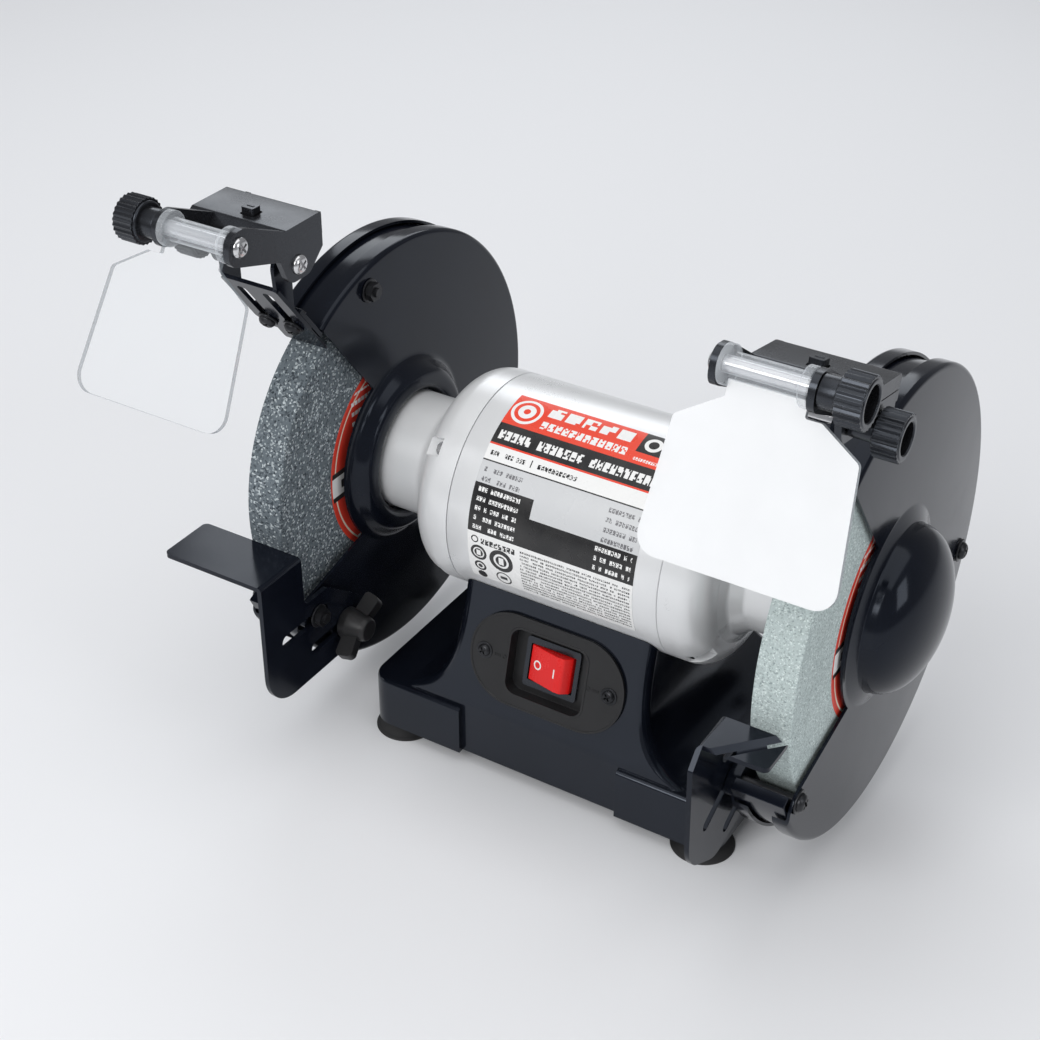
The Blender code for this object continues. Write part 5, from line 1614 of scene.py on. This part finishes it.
# ---- eye shields -------------------------------------------------------------------
@dataclass
class Shield:
    """Bracket, deflector, battery light and eye shield of one side."""

    side: Side
    guard: Guard
    wheel_radius: float = 0.1000
    wheel_middle: float = 0.1389
    bracket_middle: float = 0.1369
    bracket_half: float = 0.0163
    bracket_ends: Point = (0.0200, 0.0660)
    bracket_sheet: float = 0.0020
    ear_inset: float = 0.0011
    ear_radius: float = 0.0068
    deflector_sheet: float = 0.0012
    deflector_half: float = 0.0125
    deflector_ends: Point = (0.0035, 0.0400)
    slot_width: float = 0.0056
    stud_out: float = 0.0295
    stud_spacing: float = 0.0150
    pivot_out: float = 0.0700
    pivot_back: float = 0.0165
    light_in: float = 0.11325
    light_out: float = 0.15355
    light_end: float = 0.16715
    arm_plate: float = 0.0030
    arm_y: float = -0.0400
    arm_z: float = 0.0240
    length: float = 0.0810
    half_width: float = 0.0430
    shoulder: float = 0.0118
    tube_radius: float = 0.0055
    tube_bore: float = 0.0036
    tube_collar: float = 0.0083
    pane_sheet: float = 0.0026
    left_lean: float = math.radians(-31.0)
    right_lean: float = math.radians(-21.0)

    def front(self) -> float:
        """The bracket's front face, in front of the shaft's radial plane."""
        return self.guard.flange_front() + self.deflector_sheet + self.bracket_sheet + 2 * GAP

    def on_bracket(self, offset: float) -> Matrix:
        """Place for plates on the bracket's plane: local Y out from the shaft, Z in front.

        Args:
            offset: How far in front of the shaft's radial plane it is.

        Returns:
            The place.
        """
        point = self.guard.top_front * offset
        return (shifted(self.side.value * self.bracket_middle, SHAFT.y + point.x, SHAFT.z + point.y)
                @ Matrix.Rotation(self.guard.cut_top_angle, 4, "X"))

    def brackets(self) -> None:
        """Build and dress the deflector, the bracket and the two studs."""
        tag, guard = self.side.tag, self.guard
        stud = self.wheel_radius + self.stud_out
        studs = (-self.stud_spacing / 2, self.stud_spacing / 2)
        low, high = (self.wheel_radius + end for end in self.deflector_ends)
        half = self.deflector_half
        outline = rounded([(-half, low, 0.001), (half, low, 0.001), (half, high, 0.002),
                           (-half, high, 0.002)], 5)
        slots = [slot((x, stud - 0.0052), (x, stud + 0.0031), self.slot_width) for x in studs]
        centre = self.front() - self.bracket_sheet - GAP - self.deflector_sheet / 2
        dress(f"{tag}_spark_plate", plate(outline, self.deflector_sheet, slots), GLOSS_BLACK,
              f"deflector_{tag}",
              [f"spark_deflector_{tag}"], 0.0002, self.on_bracket(centre))
        low, high = (self.wheel_radius + end for end in self.bracket_ends)
        half = self.bracket_half
        outline = rounded([(-half + 0.0060, low, 0.001), (half - 0.0060, low, 0.001),
                           (half, low + 0.0080, 0.001),
                           (half, high, 0.002), (-half, high, 0.002), (-half, low + 0.0080, 0.001)], 5)
        slots = [slot((x, stud - 0.0003), (x, stud + 0.0280), self.slot_width) for x in studs]
        back = self.front() - self.bracket_sheet / 2
        body = moved(plate(outline, self.bracket_sheet, slots), self.on_bracket(back))
        pivot, radius, deep = self.wheel_radius + self.pivot_out, self.ear_radius, -self.pivot_back
        ear = [(*guard.on_cut(along, front), soft) for along, front, soft in (
            (high - 0.0002, back, 0), (high - 0.0200, back, 0), (pivot - radius, deep + 0.0010, 0.002),
            (pivot - radius, deep - radius, radius - 0.0002), (pivot + radius, deep - radius,
                                                               radius - 0.0002),
            (pivot + radius, deep + radius, radius - 0.0002))]
        pin = circle(0.0033, guard.on_cut(pivot, deep), 28)
        middle = self.side.value * self.bracket_middle
        ears = [moved(plate(rounded(ear, 8), self.bracket_sheet, [pin]),
                      standing(middle + way * (half - self.ear_inset))) for way in (-1, 1)]
        dress(f"{tag}_bracket_plate", carved(body, add=ears), GLOSS_BLACK, f"bracket_{tag}",
              [f"shield_bracket_{tag}"], 0.0003, rounds=3)
        face = self.front() + GAP
        for name, x in zip(("inner", "outer"), studs):
            screw = together(washer(0.0024, 0.0052, 0.0010, 36), rod(0.0025, -0.0085, 0.0012, 24),
                             moved(screw_head(0.0042, 0.0028), shifted(z=0.0010)))
            dress(f"{tag}_{name}_bracket_screw", screw, DARK_STEEL, "frame",
                  place=self.on_bracket(face) @ shifted(x, stud))

    def light_place(self) -> Matrix:
        """The light's own frame at its pivot, from its tilt at rest.

        Returns:
            The place.
        """
        pivot = joint_at(f"light_tilt_{self.side.tag}")
        arm = joint_at(f"shield_tilt_{self.side.tag}") - pivot
        lean = math.atan2(arm.z, -arm.y) - math.atan2(self.arm_z, -self.arm_y)
        return shifted(0, pivot.y, pivot.z) @ Matrix.Rotation(-lean, 4, "X")

    def shield_place(self) -> Matrix:
        """The shield's own frame on its axis, from the pane's lean at rest.

        Returns:
            The place.
        """
        spot = joint_at(f"shield_tilt_{self.side.tag}")
        lean = self.left_lean if self.side is Side.LEFT else self.right_lean
        return shifted(0, spot.y, spot.z) @ Matrix.Rotation(lean, 4, "X")

    def upright(self, x: float) -> Matrix:
        """Place for a sheet drawn in the light's own (Y, Z)."""
        return self.light_place() @ shifted(x) @ sideways()

    def outward(self, y: float, z: float) -> Matrix:
        """Place for a turned piece in the light's own frame, local Z out."""
        return self.light_place() @ shifted(0, y, z) @ sideways(self.side.value)

    def light(self) -> None:
        """Build and dress the light box, its arms, screws, pins, button and lens."""
        tag, sign = self.side.tag, self.side.value
        body = f"light_{tag}"
        length = self.light_end - self.light_in
        middle = sign * (self.light_end + self.light_in) / 2
        case = rounded([(0.0183, 0.0076, 0.001), (0.0183, 0.0193, 0.0016), (-0.0080, 0.0193, 0.0022),
                        (-0.0125, 0.0150, 0.0022), (-0.0125, 0.0076, 0.001)], 5)
        skirt = rounded([(0.0180, 0.0023, 0.001), (0.0180, 0.0120, 0), (0.0085, 0.0120, 0),
                         (0.0085, 0.0023, 0.001)], 4)
        arm = rounded([(0.0182, 0.0024, 0), (0.0182, 0.0190, 0), (-0.0080, 0.0190, 0),
                       (self.arm_y + 0.0040, self.arm_z + 0.0076, 0.0070),
                       (self.arm_y - 0.0072, self.arm_z + 0.0072, 0.0068),
                       (self.arm_y - 0.0072, self.arm_z - 0.0072, 0.0068), (-0.0130, 0.0060, 0.002),
                       (-0.0075, -0.0075, 0.0070), (0.0075, -0.0075, 0.0070)], 8)
        arms = [moved(plate(arm, self.arm_plate), self.upright(sign * out))
                for out in (self.light_in + self.arm_plate / 2, self.light_out + self.arm_plate / 2)]
        place = self.light_place()
        over_button = place @ shifted(sign * self.wheel_middle)
        over_lens = over_button @ shifted(y=-0.0062)
        well = moved(plate(rectangle(0.0084, 0.0074, 0.0012), 0.0200, low=0.0178), over_button)
        seam = moved(block((length + 0.004, 0.0500, 0.0005), (middle, 0.0, 0.0126)), place)
        core = moved(block((length - 0.0010, 0.0250, 0.0060), (middle, 0.0025, 0.0126)), place)
        lens_well = moved(rod(0.0047, 0.0, 0.0098), over_lens)
        box = carved(moved(plate(case, length), self.upright(middle)), [seam])
        box = carved(box, [well, lens_well], [core, moved(plate(skirt, length - 0.001),
                                                          self.upright(middle)), *arms])
        dress(f"{tag}_light_case", box, SATIN_BLACK, body, [f"light_box_{tag}"], 0.0004)
        button = plate(rectangle(0.0070, 0.0060, 0.0010), 0.0052, low=0.0175)
        bar = plate(rectangle(0.0040, 0.0012, 0.0004), 0.0004, low=0.0226)
        dress(f"{tag}_push_button", together(button, bar), SATIN_BLACK, f"button_{tag}",
              [f"light_button_{tag}"],
              0.0005, over_button)
        lens = rounded([(0, 0.0094, 0), (0.0044, 0.0094, 0), (0.0044, 0.0072, 0.0008),
                        (0.0030, 0.0062, 0.0012),
                        (0, 0.0058, 0)], 4, closed=False)
        dress(f"{tag}_lamp_lens", turned(lens, 40), LENS, body, [f"light_lens_{tag}"], place=over_lens)
        collar = self.light_in + self.arm_plate
        for name, y, z, end in (("pivot", 0.0, 0.0, self.light_out + 0.0180),
                                ("shield", self.arm_y, self.arm_z, self.light_out + 0.0110)):
            head = moved(screw_head(0.0048, 0.0024), shifted(z=self.light_in) @ Matrix.Rotation(math.pi, 4,
                                                                                                "X"))
            pin = rod(0.0030, collar - 0.001, end, 28)
            dress(f"{tag}_{name}_screw", together(head, pin), BRIGHT_STEEL, body, place=self.outward(y, z))

    def knob(self, name: str, y: float, z: float, end: float, radius: float, hub: float) -> None:
        """Build and dress one knurled knob.

        Args:
            name: "pivot" or "shield".
            y: Its axis in the light's own frame.
            z: Its axis in the light's own frame.
            end: How far out its outer face is.
            radius: Of its grip.
            hub: Radius of its neck.
        """
        tag = self.side.tag
        face = self.light_out + self.arm_plate + GAP
        bore, back = 0.0033, end - 0.0112
        grip = moved(knurled(radius, 0.0007, 26, 0.0108, radius - 0.0036), shifted(z=back))
        cap = rounded([(radius - 0.0040, end - 0.0100, 0), (radius - 0.0034, end, 0.0004),
                       (radius - 0.0016, end, 0.0006), (radius - 0.0006, end - 0.0012, 0.0004),
                       (radius - 0.0006, back, 0)], 3)
        base = rounded([(bore, end - 0.0118, 0), (radius - 0.0014, end - 0.0122, 0.0010),
                        (radius - 0.0014, end - 0.0100, 0), (bore, end - 0.0092, 0)], 3)
        neck = rounded([(bore, face, 0), (hub, face, 0.0004), (hub, end - 0.0110, 0),
                        (bore, end - 0.0110, 0)], 3)
        nut = plate(arc((0, 0), 0.0052, 0.2, 0.2 + math.radians(300), 5), 0.0026, [circle(0.0022, steps=20)],
                    end - 0.0094)
        body, place = f"{name}_clamp_{tag}", self.outward(y, z)
        dress(f"{tag}_{name}_knob_grip", together(grip, turned(cap, 52), turned(base, 40), turned(neck, 40)),
              SATIN_BLACK, body, [f"{name}_knob_{tag}"], 0.0002, place)
        dress(f"{tag}_{name}_knob_nut", nut, DARK_STEEL, body, place=place)

    def pane(self) -> None:
        """Build and dress the eye shield's pane, its edge and its tube."""
        tag, sign = self.side.tag, self.side.value
        body = f"shield_{tag}"
        start, end = self.light_in + self.arm_plate + GAP, self.light_out - GAP
        centre, half, drop = self.wheel_middle, self.half_width, -self.shoulder
        left, right = start + 0.0034, end - 0.0004
        outline = rounded([(left, -0.0050, 0), (right, -0.0050, 0), (right, drop, 0.001),
                           (right + 0.0070, drop, 0.002), (centre + half - 0.0045, drop - 0.0110, 0.003),
                           (centre + half, -self.length, 0.0090),
                           (centre - half, -self.length, 0.0090),
                           (centre - half + 0.0050, drop - 0.0120, 0.003),
                           (left, drop, 0.001)], 8)
        outline = [Vector((sign * point.x, point.y)) for point in outline]
        finish = CLEAR_SHEET if self.side is Side.LEFT else FILMED_SHEET
        place = self.shield_place() @ Matrix.Rotation(math.pi / 2, 4, "X")
        item = dress(f"{tag}_shield_pane", plate(outline, self.pane_sheet), finish, body,
                     [f"eye_shield_{tag}"], place=place)
        # The pane's edge faces take the darker edge colour, painted shade for how those edges bend light.
        item.data.materials.append(material_of(PAINTED_SHADE_EDGE))
        normal = place.to_3x3() @ Vector((0, 0, 1))
        for polygon in item.data.polygons:
            if abs(polygon.normal.dot(normal)) < 0.5:
                polygon.material_index = 1
        bore, collar, radius = self.tube_bore, self.tube_collar, self.tube_radius
        tube = rounded([(bore, start, 0), (collar, start, 0.0004), (collar, start + 0.0036, 0.0006),
                        (radius, start + 0.0040, 0.0006), (radius, end - 0.0040, 0.0006),
                        (collar, end - 0.0036, 0.0006), (collar, end, 0.0004), (bore, end, 0)], 4)
        dress(f"{tag}_shield_tube", turned(tube, 56), CLEAR_TUBE, body,
              place=self.shield_place() @ sideways(sign))

    def build(self) -> None:
        """Build and dress everything that hangs on the bracket."""
        self.brackets()
        self.light()
        face = self.light_out + self.arm_plate + GAP
        self.knob("pivot", 0.0, 0.0, face + 0.0230, 0.0104, 0.0052)
        self.knob("shield", self.arm_y, self.arm_z, face + 0.0195, 0.0110, 0.0070)
        self.pane()


# ---- stage -------------------------------------------------------------------------
@dataclass
class Stage:
    """Pale floor, soft studio lights and the camera."""

    target: Point = (-0.0506, 0.0266, 0.1160)
    azimuth: float = math.radians(31.58)
    elevation: float = math.radians(33.27)
    roll: float = math.radians(0.16)
    distance: float = 0.9770
    lens: float = 64.79

    def camera(self) -> None:
        """Create the camera and make it the scene's own."""
        back = Vector((math.sin(self.azimuth) * math.cos(self.elevation),
                       -math.cos(self.azimuth) * math.cos(self.elevation), math.sin(self.elevation)))
        data = bpy.data.cameras.new("camera")
        data.lens = self.lens
        data.sensor_width = 36.0
        data.clip_start = 0.05
        data.clip_end = 60.0
        item = bpy.data.objects.new("camera", data)
        item.location = Vector(self.target) + back * self.distance
        turn = (-back).to_track_quat("-Z", "Y").to_matrix().to_4x4()
        item.rotation_euler = (turn @ Matrix.Rotation(self.roll, 4, "Z")).to_euler()
        bpy.context.scene.collection.objects.link(item)
        bpy.context.scene.camera = item

    def floor(self) -> None:
        """Build the plain floor with a soft paper-like finish."""
        work = bmesh.new()
        bmesh.ops.create_circle(work, cap_ends=True, segments=96, radius=14.0)
        tree = Tree("studio_floor")
        cloud = tree.noise(tree.place(), 0.8, 2.0)
        tree.feed("Base Color", tree.mixed(cloud, tint((0.790, 0.795, 0.812)), tint((0.806, 0.811, 0.828))))
        tree.feed("Roughness", tree.ranged(cloud, (0.3, 0.7), (0.6, 0.7)))
        mesh = to_mesh("floor", work)
        mesh.materials.append(tree.material)
        item = bpy.data.objects.new("floor", mesh)
        bpy.context.scene.collection.objects.link(item)

    def lamp(self, name: str, place: Point, size: Point, power: float, aim: Point = (0.0, 0.0, 0.12),
             colour: Point = (1.0, 1.0, 1.0)) -> None:
        """Add one soft box.

        Args:
            name: The lamp's name.
            place: Where it stands.
            size: Its width and height.
            power: Its power in watts.
            aim: What it points at.
            colour: Its colour.
        """
        data = bpy.data.lights.new(name, "AREA")
        data.shape = "RECTANGLE"
        data.size, data.size_y = size
        data.energy = power
        data.color = colour
        item = bpy.data.objects.new(name, data)
        item.location = place
        item.rotation_euler = (Vector(aim) - Vector(place)).to_track_quat("-Z", "Y").to_euler()
        bpy.context.scene.collection.objects.link(item)

    def build(self) -> None:
        """Build the stage."""
        scene = bpy.context.scene
        world = bpy.data.worlds.new("studio")
        world.use_nodes = True
        sky = world.node_tree.nodes["Background"]
        sky.inputs["Color"].default_value = (0.95, 0.965, 1.0, 1.0)
        sky.inputs["Strength"].default_value = 0.30
        scene.world = world
        scene.view_settings.view_transform = "Standard"
        self.floor()
        self.lamp("top_box", (0.3, -0.2, 2.8), (3.0, 3.0), 33.0, aim=(0.3, -0.2, 0.0))
        self.lamp("key_box", (-0.15, -1.9, 1.5), (1.4, 1.1), 27.0)
        self.lamp("left_box", (-1.7, -0.6, 1.0), (0.8, 1.1), 4.5, colour=(0.97, 0.985, 1.0))
        self.lamp("rear_box", (-0.75, 1.35, 1.15), (1.2, 0.7), 6.5, colour=(0.94, 0.97, 1.0))
        self.lamp("right_box", (1.8, -0.3, 1.0), (0.7, 1.0), 6.0, colour=(0.96, 0.98, 1.0))
        self.camera()


def main() -> None:
    """Build the stage and every sub-assembly in order."""
    logging.basicConfig(level=logging.INFO, format="%(name)s %(message)s", stream=sys.stdout)
    Stage().build()
    Base().build()
    Switch().build()
    Motor().build()
    for side in Side:
        Rotor(side).build()
        guard = Guard(side)
        guard.build()
        Rest(side).build()
        Shield(side, guard).build()
    plain = {"run_capacitor": GREY_STEEL, "stator_core": DARK_STEEL, "rotor_core": GREY_STEEL,
             "rotor_shaft": GREY_STEEL, "bearing_left": BRIGHT_STEEL, "bearing_right": BRIGHT_STEEL}
    for node, finish in plain.items():
        item = frame["nodes"][node]
        item.data.materials.clear()
        item.data.materials.append(material_of(finish))
        LOG.info("%s keeps its own mesh", node)


if __name__ == "__main__":
    main()
